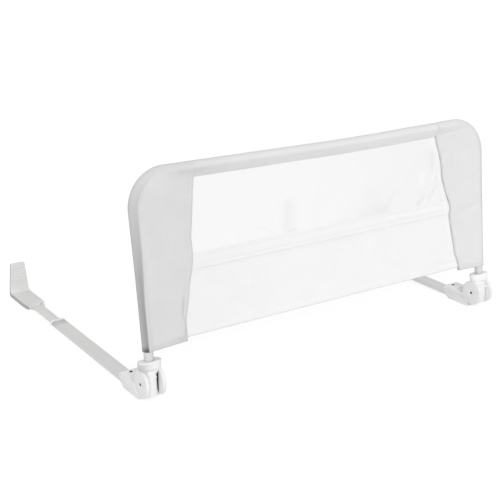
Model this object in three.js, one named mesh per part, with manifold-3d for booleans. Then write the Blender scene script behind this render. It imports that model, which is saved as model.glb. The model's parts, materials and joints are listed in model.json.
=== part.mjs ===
// Folding bed guard rail: a fabric-covered tube frame on two fork hinges, each with a flat arm that
// slides under the mattress and an L-shaped anchor foot on a strap that pulls out of the arm.
// Millimetres, +Z up. X runs along the rail, +Y points to the bed, the origin is the middle of the
// space that the part stands on.
import * as THREE from "three";
import { mergeVertices } from "three/addons/utils/BufferGeometryUtils.js";
import Module from "manifold-3d";

const wasm = await Module();
wasm.setup();

// Fits: gaps between pieces that touch, slide or turn, and the overrun of a cut
const restGap = 0.3;
const slideGap = 0.5;
const overrun = 2;

// Rail frame
const hingeSpacing = 920;
const railHeight = 421;
const railLean = 7.2;
const uprightOffset = 5;
const frameTubeDiameter = 20;
const frameTubeWall = 1.2;
const cornerRadius = 70;
const joinPlace = 80;
const joinSag = 5;
const joinerWall = 1.2;
const joinerLength = 130;
const buttonRadius = 3;
const buttonStandOut = 1.2;
const buttonFlange = 1.4;
const leafLength = 22;
const leafWidth = 5;
const leafThickness = 0.6;
const frameSides = 20;

// Fork, as wide as the hinge housing's seat and its two ears
const forkWidth = 45;
const earThickness = 7.3;
const earStep = 1.2;
const earRadius = 30;
const floorDrop = 40;
const sideWallTop = 12;
const bossTop = 10;
const bracketLength = 100;
const undersideStart = 13;
const undersideEnd = 77;
const mouthHeight = 22;
const recessEnd = 60;
const bracketScrewPlace = 84;
const bracketScrewRadius = 2;
const bracketScrewHead = 3.6;
const bracketScrewRecess = 6;
const screwHeadHeight = 2.4;
const headRecess = 3;

// Hinge housing, index hub, lock slide and pivot
const sweepGap = 1.5;
const housingFront = 19.5;
const housingBack = 17;
const funnelStart = 31;
const funnelRim = 44;
const collarTop = 48;
const funnelHalfLength = 19;
const funnelHalfDepth = 13.6;
const collarHalfLength = 25.5;
const collarHalfDepth = 14.5;
const socketDepth = 14;
const hubRadius = 12.5;
const hubWidth = 10;
const axleSide = 7;
const axleSeat = 4;
const pivotHoleRadius = 3.2;
const pivotShankRadius = 1.7;
const pivotShankLength = 9;
const notchWidth = 6.8;
const notchDepth = 5.2;
const lockTravel = 5;
const lockWidth = 8;
const lockDepth = 6;
const lockLength = 11;
const neckRise = 5;
const neckHeight = 4;
const padWidth = 14;
const padHeight = 13;
const padThickness = 3;
const springRadius = 2.9;
const springWall = 0.9;
const housingScrewRadius = 1.5;
const housingScrewHead = 2.8;
const housingScrewShares = [
  [-0.77, 0.52],
  [0, -0.7],
];

// Folding range of an arm, up against the rail and down to the hanging rail
const foldUp = 82;
const foldDown = 165;

// Arm tube and its end cap
const armWidth = 36;
const armHeight = 12;
const armWall = 1.5;
const armTop = 25;
const armStart = 46;
const armEnd = 456;
const capLip = 1;
const capLipLength = 9;
const capPlugLength = 24;
const capSideGap = 0.3;

// Strap, its stop and its loop round the foot pin
const strapWidth = 28;
const strapThickness = 1.4;
const strapRise = 2;
const strapStow = 100;
const strapReach = 250;
const strapTail = 24;
const stopLength = 8;
const stopThickness = 5;
const pinRadius = 1.5;
const pinGap = 0.1;

// Anchor foot
const footWidth = 50;
const footTopWidth = 37;
const footPlateTop = 86;
const footPlatePlace = 702;
const footPlateThickness = 5;
const footBaseHeight = 10;
const footSkin = 2;
const footRim = 4;
const footNoseWidth = 34;
const footSideStart = 632;
const footPinPlace = 594;
const footPinStandOut = 0.6;
const footHeelRadius = 8;
const footTopRadius = 5;
const gripRibs = 6;
const gripRibHeight = 0.8;
const gripRibWidth = 2.4;
const gripRibBow = 2.5;
const gripShares = [0.4, 0.92];
const crossRibs = 4;

// Fabric cover
const sleeveRadius = 13.5;
const sleeveGap = 0.4;
const seamHalf = 2;
const clothThickness = 2.4;
const sleeveHem = 68;
const clothHem = 75.6;
const topBandDrop = 36;
const seamBandLow = 213;
const seamBandHigh = 243;
const seamBandThickness = 3.6;
const foldHeight = 1.6;
const leftBand = { top: 136, middle: 117, hem: 88 };
const rightBand = { top: 128, middle: 90, hem: 72 };
const clothColumns = 28;
const clothRows = 6;

// Places that follow from the sizes above
const halfSpacing = hingeSpacing / 2;
const forkHalf = forkWidth / 2;
const slotHalf = forkHalf - earThickness;
const housingHalf = slotHalf - slideGap;
const sweepRadius = earRadius + sweepGap;
const tubeRadius = frameTubeDiameter / 2;
const armMiddle = -armTop - armHeight / 2;
const strapLevel = -armTop - armHeight + armWall + strapRise + strapThickness / 2 - restGap;
const footBack = footPlatePlace + footPlateThickness;
const depthMiddle = (footBack - earRadius) / 2;
const footKnuckle = footBaseHeight / 2;
const noseEnd = footPinPlace - footKnuckle;
const lean = THREE.MathUtils.degToRad(railLean);
const topStraight = railHeight - cornerRadius;
const joinHeight = railHeight - joinSag;
const joinerRadius = tubeRadius - frameTubeWall - slideGap;
const tubeFoot = collarTop - socketDepth;

const toSolid = (geometry) => {
  const bare = new THREE.BufferGeometry().setAttribute("position", geometry.getAttribute("position"));
  if (geometry.index) bare.setIndex(geometry.index);
  const merged = mergeVertices(bare, 1e-4);
  const { array: vertProperties } = merged.getAttribute("position");
  const triVerts = new Uint32Array(merged.index.array);
  return new wasm.Manifold(new wasm.Mesh({ numProp: 3, vertProperties, triVerts }));
};

const toGeometry = (solid) => {
  const { vertProperties, triVerts } = solid.getMesh();
  const geometry = new THREE.BufferGeometry();
  geometry.setAttribute("position", new THREE.BufferAttribute(vertProperties, 3));
  geometry.setIndex(new THREE.BufferAttribute(triVerts, 1));
  geometry.computeVertexNormals();
  return geometry;
};

const shapeOf = (points) => new THREE.Shape(points.map(([u, v]) => new THREE.Vector2(u, v)));

// Prisms of a flat outline, along X (outline in Y and Z), along Y (X and Z) and along Z (X and Y)
const extrude = (shape, depth, curveSegments = 8) =>
  new THREE.ExtrudeGeometry(shape, { depth, bevelEnabled: false, curveSegments });

const prismX = (shape, from, to, curveSegments) =>
  toSolid(
    extrude(shape, to - from, curveSegments).applyMatrix4(
      new THREE.Matrix4().set(0, 0, 1, from, 1, 0, 0, 0, 0, 1, 0, 0, 0, 0, 0, 1),
    ),
  );

const prismY = (shape, from, to, curveSegments) =>
  toSolid(
    extrude(shape, to - from, curveSegments).applyMatrix4(
      new THREE.Matrix4().set(1, 0, 0, 0, 0, 0, -1, to, 0, 1, 0, 0, 0, 0, 0, 1),
    ),
  );

const prismZ = (shape, from, to, curveSegments) =>
  toSolid(extrude(shape, to - from, curveSegments).translate(0, 0, from));

const box = (low, high) => {
  const size = high.map((value, axis) => value - low[axis]);
  const middle = high.map((value, axis) => (value + low[axis]) / 2);
  return toSolid(new THREE.BoxGeometry(...size).translate(...middle));
};

// A round bar along X from one place to another, round the line through (y, z)
const barX = (radius, from, to, y = 0, z = 0, sides = 24) =>
  toSolid(
    new THREE.CylinderGeometry(radius, radius, to - from, sides)
      .rotateZ(-Math.PI / 2)
      .translate((from + to) / 2, y, z),
  );

const barZ = (radius, from, to, x = 0, y = 0, sides = 20) =>
  toSolid(
    new THREE.CylinderGeometry(radius, radius, to - from, sides)
      .rotateX(Math.PI / 2)
      .translate(x, y, (from + to) / 2),
  );

// A closed skin over rings of points, all with as many points, and a flat cap on each end
const loft = (rings) => {
  const count = rings[0].length;
  const middles = [rings[0], rings.at(-1)].map((ring) =>
    ring.reduce((sum, point) => sum.add(point), new THREE.Vector3()).divideScalar(count),
  );
  const points = [...rings.flat(), ...middles];
  const faces = [];
  for (let ring = 0; ring < rings.length - 1; ring++) {
    for (let k = 0; k < count; k++) {
      const next = (k + 1) % count;
      const [a, b] = [ring * count + k, ring * count + next];
      faces.push(a, b, b + count, a, b + count, a + count);
    }
  }
  const last = (rings.length - 1) * count;
  for (let k = 0; k < count; k++) {
    const next = (k + 1) % count;
    faces.push(points.length - 2, next, k, points.length - 1, last + k, last + next);
  }
  const geometry = new THREE.BufferGeometry().setFromPoints(points).setIndex(faces);
  const solid = toSolid(geometry);
  if (solid.volume() > 0) return solid;
  const turned = faces.map((_, i) => faces[i - (i % 3) + [0, 2, 1][i % 3]]);
  return toSolid(new THREE.BufferGeometry().setFromPoints(points).setIndex(turned));
};

// A round tube or bar along points in the panel's plane, with mitred bends
const alongPanel = (points, radius, sides = frameSides) => {
  const depthWay = new THREE.Vector3(0, 1, 0);
  const rings = points.map((point, i) => {
    const before = points[Math.max(i - 1, 0)];
    const after = points[Math.min(i + 1, points.length - 1)];
    const way = after.clone().sub(before).normalize();
    const side = way.clone().cross(depthWay).normalize();
    return Array.from({ length: sides }, (_, k) => {
      const turn = (k / sides) * 2 * Math.PI;
      return point
        .clone()
        .addScaledVector(side, radius * Math.cos(turn))
        .addScaledVector(depthWay, radius * Math.sin(turn));
    });
  });
  return loft(rings);
};

const finish = (color, roughness, metalness = 0) =>
  new THREE.MeshStandardMaterial({ color, roughness, metalness });

const paintedSteel = finish("#f2f2f1", 0.35);
const whitePlastic = finish("#eeeeed", 0.45);
const brushedSteel = finish("#c3c0ba", 0.38, 0.85);
const zincSteel = finish("#b9bcc0", 0.4, 0.9);
const springSteel = finish("#8f9296", 0.35, 0.9);
const greyPlastic = finish("#dededc", 0.5);
const greyCloth = finish("#dcdddf", 0.9);
const whiteCloth = finish("#f6f6f7", 0.92);
const whiteMesh = finish("#fafafa", 0.88);
const whiteWebbing = finish("#dddddb", 0.85);

const piece = (name, solid, material) => {
  const mesh = new THREE.Mesh(toGeometry(solid), material);
  mesh.name = name;
  return mesh;
};

// A flat oval outline, round at both sides
const flatOval = (halfWidth, halfHeight, middle) => {
  const reach = halfWidth - halfHeight;
  const shape = new THREE.Shape();
  shape.absarc(reach, middle, halfHeight, -Math.PI / 2, Math.PI / 2);
  shape.absarc(-reach, middle, halfHeight, Math.PI / 2, (3 * Math.PI) / 2);
  return shape;
};

// The upright's socket leans with the rail: a place along and across it, in the hinge's own axes
const alongSocket = (along, across = 0, x = 0) =>
  new THREE.Vector3(
    x,
    -uprightOffset + along * Math.sin(lean) + across * Math.cos(lean),
    along * Math.cos(lean) - across * Math.sin(lean),
  );

const socketRing = (along, halfLength, halfDepth, points = 32) =>
  Array.from({ length: points }, (_, k) => {
    const turn = (k / points) * 2 * Math.PI;
    const reach = halfLength - halfDepth;
    const x = Math.sign(Math.cos(turn)) * reach + halfDepth * Math.cos(turn);
    return alongSocket(along, halfDepth * Math.sin(turn), x);
  });

const roundRing = (along, radius, sides = frameSides) =>
  Array.from({ length: sides }, (_, k) => {
    const turn = (k / sides) * 2 * Math.PI;
    return alongSocket(along, radius * Math.sin(turn), radius * Math.cos(turn));
  });

// Where the housing's two joining screws lie, as (y, z) from the hinge axis
const housingScrewPlaces = housingScrewShares.map(([front, height]) => [
  front * housingFront,
  height * earRadius,
]);

const housingScrew = ([y, z], gap = 0) =>
  barX(housingScrewRadius + gap, -housingHalf + screwHeadHeight, slotHalf / 2 + gap, y, z, 12).add(
    barX(
      housingScrewHead + gap,
      -housingHalf + restGap - (gap ? overrun : 0),
      -housingHalf + screwHeadHeight + restGap + gap,
      y,
      z,
      12,
    ),
  );

// The sliding lock at its drawn height above the hub, with its pad outside the back wall
const lockBottom = hubRadius + restGap;
const lockTop = lockBottom + lockLength;
const neckBottom = lockBottom + neckRise;
const padBack = housingBack + slideGap + padThickness;

const lockSlide = () =>
  box([-lockWidth / 2, -lockDepth / 2, lockBottom], [lockWidth / 2, lockDepth / 2, lockTop])
    .add(
      box(
        [-lockWidth / 2, 0, neckBottom],
        [lockWidth / 2, housingBack + slideGap + padThickness / 2, neckBottom + neckHeight],
      ),
    )
    .add(
      box(
        [-padWidth / 2, housingBack + slideGap, neckBottom + neckHeight / 2 - padHeight / 2],
        [padWidth / 2, padBack, neckBottom + neckHeight / 2 + padHeight / 2],
      ),
    );

const lockSpace = () =>
  box(
    [-lockWidth / 2 - slideGap, -lockDepth / 2 - slideGap, 0],
    [lockWidth / 2 + slideGap, lockDepth / 2 + slideGap, tubeFoot - restGap],
  ).add(
    box(
      [-lockWidth / 2 - slideGap, 0, neckBottom - lockTravel - slideGap],
      [lockWidth / 2 + slideGap, housingBack + overrun, neckBottom + neckHeight + slideGap],
    ),
  );

// The housing before it is split: a rounded block between the ears and a funnel up to the collar
const housing = () => {
  const outline = new THREE.Shape();
  const frontCentre = -housingFront + housingHalf;
  const backCentre = housingBack - housingHalf;
  outline.absarc(0, backCentre, housingHalf, 0, Math.PI);
  outline.absarc(0, frontCentre, housingHalf, Math.PI, 2 * Math.PI);
  const block = prismZ(outline, -earRadius, funnelStart + slideGap, 12);
  const roundBottom = barX(earRadius - restGap, -forkHalf, forkHalf, 0, 0, 48).add(
    box([-forkHalf, -earRadius, 0], [forkHalf, earRadius, collarTop]),
  );
  const funnel = loft([
    socketRing(funnelStart, funnelHalfLength, funnelHalfDepth),
    socketRing(funnelRim, collarHalfLength, collarHalfDepth),
    socketRing(collarTop - slideGap, collarHalfLength, collarHalfDepth),
    socketRing(collarTop, collarHalfLength - slideGap, collarHalfDepth - slideGap),
  ]);
  const socket = loft([
    roundRing(tubeFoot - restGap, tubeRadius + restGap),
    roundRing(collarTop + overrun, tubeRadius + restGap),
  ]);
  const hubSpace = barX(hubRadius + slideGap, -hubWidth / 2 - slideGap, hubWidth / 2 + slideGap);
  const axleSpace = barX(axleSide * Math.SQRT1_2 + slideGap, -forkHalf, forkHalf);
  let solid = block.intersect(roundBottom).add(funnel).subtract(socket);
  solid = solid.subtract(hubSpace).subtract(axleSpace).subtract(lockSpace());
  for (const place of housingScrewPlaces) solid = solid.subtract(housingScrew(place, restGap));
  return solid;
};

// The bracket's body from its side, a little smaller than the ears where it runs round them
const bracketSide = () => {
  const shape = new THREE.Shape();
  const round = earRadius - earStep;
  const wallStart = Math.sqrt(round ** 2 - sideWallTop ** 2);
  const startTurn = Math.atan2(-sideWallTop, wallStart);
  const bottomTurn = -Math.PI / 2 + Math.asin(undersideStart / round);
  shape.absarc(0, 0, round, startTurn, bottomTurn + 2 * Math.PI);
  shape.lineTo(undersideStart, -floorDrop);
  shape.lineTo(undersideEnd, -floorDrop);
  shape.lineTo(bracketLength, -mouthHeight);
  shape.lineTo(bracketLength - (mouthHeight - bossTop) / 2, -bossTop);
  shape.lineTo(recessEnd, -bossTop);
  shape.lineTo(recessEnd - (recessEnd - wallStart) / 3, -sideWallTop);
  return shape;
};

const armSection = (grow = 0) => flatOval(armWidth / 2 + grow, armHeight / 2 + grow, armMiddle);

const pivotScrew = (side, gap = 0) => {
  const outer = forkHalf - headRecess;
  const head = outer - screwHeadHeight;
  const tip = outer - pivotShankLength - screwHeadHeight;
  const [a, b, c] = [tip - gap, head, outer].map((value) => value * side);
  return barX(pivotShankRadius + gap, Math.min(a, b), Math.max(a, b), 0, 0, 12).add(
    barX(pivotHoleRadius - restGap + gap, Math.min(b, c), Math.max(b, c), 0, 0, 16),
  );
};

const axleHalf = slotHalf + axleSeat;

const pivotAxle = (grow = 0) =>
  box(
    [-axleHalf - grow, -axleSide / 2 - grow, -axleSide / 2 - grow],
    [axleHalf + grow, axleSide / 2 + grow, axleSide / 2 + grow],
  );

const boredAxle = () => pivotAxle().subtract(pivotScrew(1, restGap)).subtract(pivotScrew(-1, restGap));

// A screw from above through the bracket into the arm tube's top wall
const bracketScrew = (gap = 0) => {
  const headTop = -bossTop - bracketScrewRecess;
  return barZ(
    bracketScrewRadius + gap,
    -armTop - armWall - overrun - gap,
    headTop - screwHeadHeight,
    0,
    bracketScrewPlace,
    12,
  ).add(
    barZ(
      bracketScrewHead + gap,
      headTop - screwHeadHeight - gap,
      headTop + (gap ? bracketScrewRecess + overrun : 0),
      0,
      bracketScrewPlace,
      16,
    ),
  );
};

const bracket = () => {
  const ears = barX(earRadius, -forkHalf, forkHalf, 0, 0, 48);
  const sides = prismX(bracketSide(), -forkHalf + earStep, forkHalf - earStep, 24).add(ears);
  const slot = barX(sweepRadius, -slotHalf, slotHalf, 0, 0, 48);
  const recess = prismX(
    shapeOf([
      [0, 0],
      [sweepRadius * Math.cos(Math.PI / 4), -sweepRadius * Math.sin(Math.PI / 4) - overrun],
      [recessEnd, -sideWallTop],
      [recessEnd, earRadius],
      [0, earRadius],
    ]),
    -slotHalf,
    slotHalf,
  );
  const tubeSeat = prismY(armSection(restGap), armStart - restGap, bracketLength + overrun);
  const pivotHole = barX(pivotHoleRadius, -forkHalf - overrun, forkHalf + overrun, 0, 0, 20);
  return sides
    .subtract(slot)
    .subtract(recess)
    .subtract(tubeSeat)
    .subtract(pivotHole)
    .subtract(pivotAxle(restGap))
    .subtract(bracketScrew(restGap));
};

// The hub carries a notch for each place where the arm locks: in use, folded up and folded down
const indexHub = () => {
  let hub = barX(hubRadius, -hubWidth / 2, hubWidth / 2, 0, 0, 36);
  for (const turn of [0, -foldUp, foldDown]) {
    const notch = new THREE.BoxGeometry(hubWidth + overrun, notchWidth, notchDepth + overrun);
    notch.translate(0, 0, hubRadius - notchDepth / 2 + overrun / 2);
    hub = hub.subtract(toSolid(notch.rotateX(THREE.MathUtils.degToRad(turn))));
  }
  return hub.subtract(pivotAxle(restGap));
};

const lockSpring = () => {
  const [low, high] = [lockTop + restGap, tubeFoot - 2 * restGap];
  return barZ(springRadius, low, high, 0, 0, 16).subtract(
    barZ(springRadius - springWall, low - overrun, high + overrun, 0, 0, 16),
  );
};

const armTube = () =>
  prismY(armSection(), armStart, armEnd)
    .subtract(prismY(armSection(-armWall), armStart - overrun, armEnd + overrun))
    .subtract(bracketScrew(restGap));

const strapSlot = (from, to) =>
  box(
    [-strapWidth / 2 - slideGap, from, strapLevel - strapThickness / 2 - slideGap],
    [strapWidth / 2 + slideGap, to, strapLevel + strapThickness / 2 + slideGap],
  );

const endCap = () => {
  const plug = prismY(armSection(-armWall - capSideGap), armEnd - capPlugLength, armEnd + capLipLength);
  const lip = prismY(armSection(capLip), armEnd + restGap, armEnd + capLipLength);
  return plug.add(lip).subtract(strapSlot(armStart, armEnd + capLipLength + overrun));
};

// The strap lies flat along the arm's floor and ends in a sewn loop round the foot pin
const loopInner = pinRadius + pinGap;
const loopOuter = loopInner + strapThickness;
const pinLevel = strapLevel + strapThickness / 2 - loopOuter;
const stopEnd = armEnd - capPlugLength - slideGap - strapReach;
const strapStart = stopEnd - stopLength;

const strap = () => {
  const top = strapLevel + strapThickness / 2;
  const outline = shapeOf([
    [strapStart, top],
    [strapStart, top - strapThickness],
    [footPinPlace - strapTail, top - strapThickness],
    [footPinPlace - strapTail / 2, pinLevel - loopOuter],
  ]);
  outline.absarc(footPinPlace, pinLevel, loopOuter, -Math.PI / 2, Math.PI / 2);
  const eye = new THREE.Path();
  eye.absarc(footPinPlace, pinLevel, loopInner, 0, 2 * Math.PI);
  outline.holes.push(eye);
  return prismX(outline, -strapWidth / 2, strapWidth / 2, 10);
};

const strapStop = () =>
  box(
    [-strapWidth / 2, strapStart, strapLevel + strapThickness / 2 + restGap],
    [strapWidth / 2, stopEnd, strapLevel + strapThickness / 2 + stopThickness],
  );

// The pin spans the two cheeks of the foot's nose and stands a little proud of them
const noseCurve = 1 - Math.sqrt(footKnuckle / (footSideStart - noseEnd));
const cheekHalf = footWidth / 2 - ((footWidth - footNoseWidth) / 2) * noseCurve ** 2;
const pinHalf = cheekHalf + footPinStandOut;
const footPin = (grow = 0) =>
  barX(pinRadius + grow, -pinHalf - grow, pinHalf + grow, footPinPlace, pinLevel, 16);

// The foot's base from above: straight sides and a nose that rounds in towards the arm
const footPlan = (inset = 0) => {
  const half = footWidth / 2 - inset;
  const noseHalf = footNoseWidth / 2 - inset;
  const tip = noseEnd + inset;
  const shape = new THREE.Shape();
  shape.moveTo(-half, footBack);
  shape.lineTo(-half, footSideStart);
  shape.quadraticCurveTo(-half, tip, -noseHalf, tip);
  shape.lineTo(noseHalf, tip);
  shape.quadraticCurveTo(half, tip, half, footSideStart);
  shape.lineTo(half, footBack);
  return shape;
};

const footFloor = -floorDrop;
const footBaseTop = footFloor + footBaseHeight;
const plateTop = footFloor + footPlateTop;

// The foot from its side: round knuckle at the pin, base, heel bend and upright plate
const footProfile = () => {
  const shape = new THREE.Shape();
  shape.moveTo(footPinPlace, footFloor);
  shape.lineTo(footBack - footHeelRadius, footFloor);
  shape.absarc(footBack - footHeelRadius, footFloor + footHeelRadius, footHeelRadius, -Math.PI / 2, 0);
  shape.lineTo(footBack, plateTop);
  shape.lineTo(footPlatePlace, plateTop);
  shape.lineTo(footPlatePlace, footBaseTop + footPlateThickness);
  shape.lineTo(footPlatePlace - footPlateThickness, footBaseTop);
  shape.lineTo(footPinPlace, footBaseTop);
  shape.absarc(footPinPlace, footFloor + footKnuckle, footKnuckle, Math.PI / 2, (3 * Math.PI) / 2);
  return shape;
};

const footFront = () => {
  const [low, high] = [footWidth / 2, footTopWidth / 2];
  const shape = new THREE.Shape();
  shape.moveTo(-low, footFloor);
  shape.lineTo(low, footFloor);
  shape.lineTo(low, footBaseTop);
  shape.lineTo(high, plateTop - footTopRadius);
  shape.quadraticCurveTo(high, plateTop, high - footTopRadius, plateTop);
  shape.lineTo(-high + footTopRadius, plateTop);
  shape.quadraticCurveTo(-high, plateTop, -high, plateTop - footTopRadius);
  shape.lineTo(-low, footBaseTop);
  return shape;
};

// A bowed grip rib across the plate's front at a share of its height
const gripRib = (share) => {
  const height = footBaseTop + (plateTop - footBaseTop) * share;
  const half = (footWidth + (footTopWidth - footWidth) * share) / 2 - footRim;
  const shape = new THREE.Shape();
  shape.moveTo(-half, height);
  shape.quadraticCurveTo(0, height + gripRibBow, half, height);
  shape.lineTo(half, height + gripRibWidth);
  shape.quadraticCurveTo(0, height + gripRibWidth + gripRibBow, -half, height + gripRibWidth);
  return prismY(shape, footPlatePlace - gripRibHeight, footPlatePlace + footPlateThickness / 2, 6);
};

const foot = () => {
  const hollowEnd = footBack - footPlateThickness;
  const slotEnd = footPinPlace + loopOuter + slideGap;
  const hollow = prismZ(footPlan(footRim), footFloor - overrun, footBaseTop - footSkin, 16).intersect(
    box([-footWidth, noseEnd, footFloor - overrun], [footWidth, hollowEnd - footRim, footBaseTop]),
  );
  let solid = prismX(footProfile(), -footWidth, footWidth, 8)
    .intersect(prismZ(footPlan(), footFloor - overrun, plateTop + overrun, 16))
    .intersect(prismY(footFront(), noseEnd - overrun, footBack + overrun))
    .subtract(hollow)
    .subtract(
      box(
        [-strapWidth / 2 - slideGap, noseEnd - overrun, footFloor - overrun],
        [strapWidth / 2 + slideGap, slotEnd, footBaseTop + overrun],
      ),
    );
  for (let k = 1; k <= crossRibs; k++) {
    const place = slotEnd + ((hollowEnd - slotEnd) * k) / (crossRibs + 1);
    solid = solid.add(
      box(
        [-footWidth / 2 + footRim / 2, place, footFloor + footSkin],
        [footWidth / 2 - footRim / 2, place + footSkin, footBaseTop - footSkin / 2],
      ),
    );
  }
  for (let k = 0; k < gripRibs; k++) {
    const [low, high] = gripShares;
    solid = solid.add(gripRib(low + ((high - low) * k) / (gripRibs - 1)));
  }
  return solid.subtract(footPin(pinGap));
};

// Everything at one end of the rail that stands on the hinge's own axes
const hingeAndArm = (side) => {
  const group = new THREE.Group();
  const whole = housing();
  const farHalf = box([-forkWidth, -forkWidth, -forkWidth], [-restGap / 2, forkWidth, 2 * forkWidth]);
  const nearHalf = box([restGap / 2, -forkWidth, -forkWidth], [forkWidth, forkWidth, 2 * forkWidth]);
  group.add(
    piece(`${side}_housing_outer`, whole.intersect(farHalf), whitePlastic),
    piece(`${side}_housing_inner`, whole.intersect(nearHalf), whitePlastic),
    piece(`${side}_lock_slide`, lockSlide(), greyPlastic),
    piece(`${side}_lock_spring`, lockSpring(), springSteel),
    piece(`${side}_bracket`, bracket(), whitePlastic),
    piece(`${side}_index_hub`, indexHub(), zincSteel),
    piece(`${side}_pivot_axle`, boredAxle(), zincSteel),
    piece(`${side}_pivot_screw_outer`, pivotScrew(-1), zincSteel),
    piece(`${side}_pivot_screw_inner`, pivotScrew(1), zincSteel),
    piece(`${side}_bracket_screw`, bracketScrew(), zincSteel),
    piece(`${side}_arm_tube`, armTube(), brushedSteel),
    piece(`${side}_end_cap`, endCap(), whitePlastic),
    piece(`${side}_strap`, strap(), whiteWebbing),
    piece(`${side}_strap_stop`, strapStop(), whitePlastic),
    piece(`${side}_foot_pin`, footPin(), zincSteel),
    piece(`${side}_foot`, foot(), greyPlastic),
  );
  housingScrewPlaces.forEach((place, k) => {
    group.add(piece(`${side}_housing_screw_${k + 1}`, housingScrew(place), zincSteel));
  });
  return group;
};

// The frame's centre line from an upright to the join, sign -1 for the left tube
const frameLine = (sign, from, join, steps = 8) => {
  const fall = joinSag / (halfSpacing - sign * join - cornerRadius);
  const points = [new THREE.Vector3(sign * halfSpacing, 0, from)];
  for (let k = 0; k <= steps; k++) {
    const turn = (k / steps) * (Math.PI / 2 + Math.atan(fall));
    const x = halfSpacing - cornerRadius + cornerRadius * Math.cos(turn);
    points.push(new THREE.Vector3(sign * x, 0, topStraight + cornerRadius * Math.sin(turn)));
  }
  points.push(new THREE.Vector3(join, 0, joinHeight));
  return points;
};

// The same line cut short at a place along the top
const cutLine = (points, x) => {
  const [corner, join] = points.slice(-2);
  const end = corner.clone().lerp(join, (x - corner.x) / (join.x - corner.x));
  return [...points.slice(0, -1), end];
};

const longer = (points, by) => {
  const [first, second] = points;
  const [beforeLast, last] = points.slice(-2);
  const start = first.clone().addScaledVector(first.clone().sub(second).normalize(), by);
  const end = last.clone().addScaledVector(last.clone().sub(beforeLast).normalize(), by);
  return [start, ...points.slice(1, -1), end];
};

const buttonPlace = joinPlace - joinerLength / 4;
const flangeRadius = buttonRadius + buttonFlange / 2;

// How far from the tube's axis a piece of some half height can lie inside the joiner
const insideJoiner = (halfHeight) => {
  const bore = (joinerRadius - joinerWall) * Math.cos(Math.PI / frameSides);
  return Math.sqrt(bore ** 2 - halfHeight ** 2) - restGap;
};

const buttonHeight = () => cutLine(frameLine(-1, tubeFoot, joinPlace), buttonPlace).at(-1).z;

// The spring button that locks the left tube to the joiner, pointing to the bed
const joinerButton = (gap = 0) => {
  const height = buttonHeight();
  const tip = tubeRadius + buttonStandOut;
  const inner = insideJoiner(flangeRadius);
  const stem = new THREE.CylinderGeometry(buttonRadius + gap, buttonRadius + gap, tip - inner + gap, 16);
  const flange = new THREE.CylinderGeometry(flangeRadius, flangeRadius, buttonFlange, 16);
  stem.translate(buttonPlace, (tip + inner + gap) / 2, height);
  flange.translate(buttonPlace, inner - buttonFlange / 2, height);
  return gap ? toSolid(stem) : toSolid(stem).add(toSolid(flange));
};

// The bent leaf behind the button, with one limb on its flange and one on the far wall
const buttonLeaf = () => {
  const height = buttonHeight();
  const [far, bend] = [buttonPlace + buttonRadius, buttonPlace - leafLength];
  const high = insideJoiner(flangeRadius) - buttonFlange - restGap;
  const low = -insideJoiner(leafWidth / 2);
  const outline = shapeOf([
    [far, high],
    [bend, leafThickness],
    [bend, -leafThickness],
    [far, low],
    [far, low + leafThickness],
    [bend + 2 * leafThickness, 0],
    [far, high - leafThickness],
  ]);
  return prismZ(outline, height - leafWidth / 2, height + leafWidth / 2);
};

const frameTube = (sign) => {
  const end = joinPlace + (sign * restGap) / 2;
  const line = cutLine(frameLine(sign, tubeFoot, joinPlace), end);
  const solid = alongPanel(line, tubeRadius).subtract(
    alongPanel(longer(line, overrun), tubeRadius - frameTubeWall),
  );
  return sign < 0 ? solid.subtract(joinerButton(restGap)) : solid;
};

const joiner = () => {
  const left = cutLine(frameLine(-1, tubeFoot, joinPlace), joinPlace - joinerLength / 2).at(-1);
  const right = cutLine(frameLine(1, tubeFoot, joinPlace), joinPlace + joinerLength / 2).at(-1);
  const line = [left, new THREE.Vector3(joinPlace, 0, joinHeight), right];
  return alongPanel(line, joinerRadius)
    .subtract(alongPanel(longer(line, overrun), joinerRadius - joinerWall))
    .subtract(joinerButton(restGap));
};

const bandLow = railHeight - topBandDrop + sleeveRadius;

// Inner edge of a side band at a height along the panel, measured from the rail's middle
const bandEdge = (band, sign, height) => {
  const [low, high, from, to] =
    height < seamBandLow
      ? [band.hem, band.middle, sleeveHem, seamBandLow]
      : [band.middle, band.top, seamBandLow, bandLow];
  const share = THREE.MathUtils.clamp((height - from) / (to - from), 0, 1);
  return sign * (halfSpacing - low - (high - low) * share);
};

const sleeveLine = (sign, band) => {
  const end = bandEdge(band, sign, railHeight) + (sign * restGap) / 2;
  return cutLine(frameLine(sign, sleeveHem, joinPlace), end);
};

// A side band: a round sleeve on the upright and corner, and a flat wedge to the white cloth
const sideSleeve = (sign, band) => {
  const line = sleeveLine(sign, band);
  const stations = [sleeveHem, seamBandLow, topStraight];
  const rise = bandLow + sleeveRadius / 2 - topStraight;
  for (let k = 1; k <= 6; k++) stations.push(topStraight + (rise * k) / 6);
  const rings = stations.map((height) => {
    const above = Math.max(height - topStraight, 0);
    const outer = halfSpacing - cornerRadius + Math.sqrt(cornerRadius ** 2 - above ** 2);
    const inner = bandEdge(band, sign, height) + (sign * restGap) / 2;
    const deep = sleeveRadius - overrun / 2;
    return [
      new THREE.Vector3(sign * outer, -deep, height),
      new THREE.Vector3(inner, -seamHalf, height),
      new THREE.Vector3(inner, seamHalf, height),
      new THREE.Vector3(sign * outer, deep, height),
    ];
  });
  return alongPanel(line, sleeveRadius)
    .add(loft(rings))
    .subtract(alongPanel(longer(line, overrun), tubeRadius + sleeveGap));
};

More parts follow.
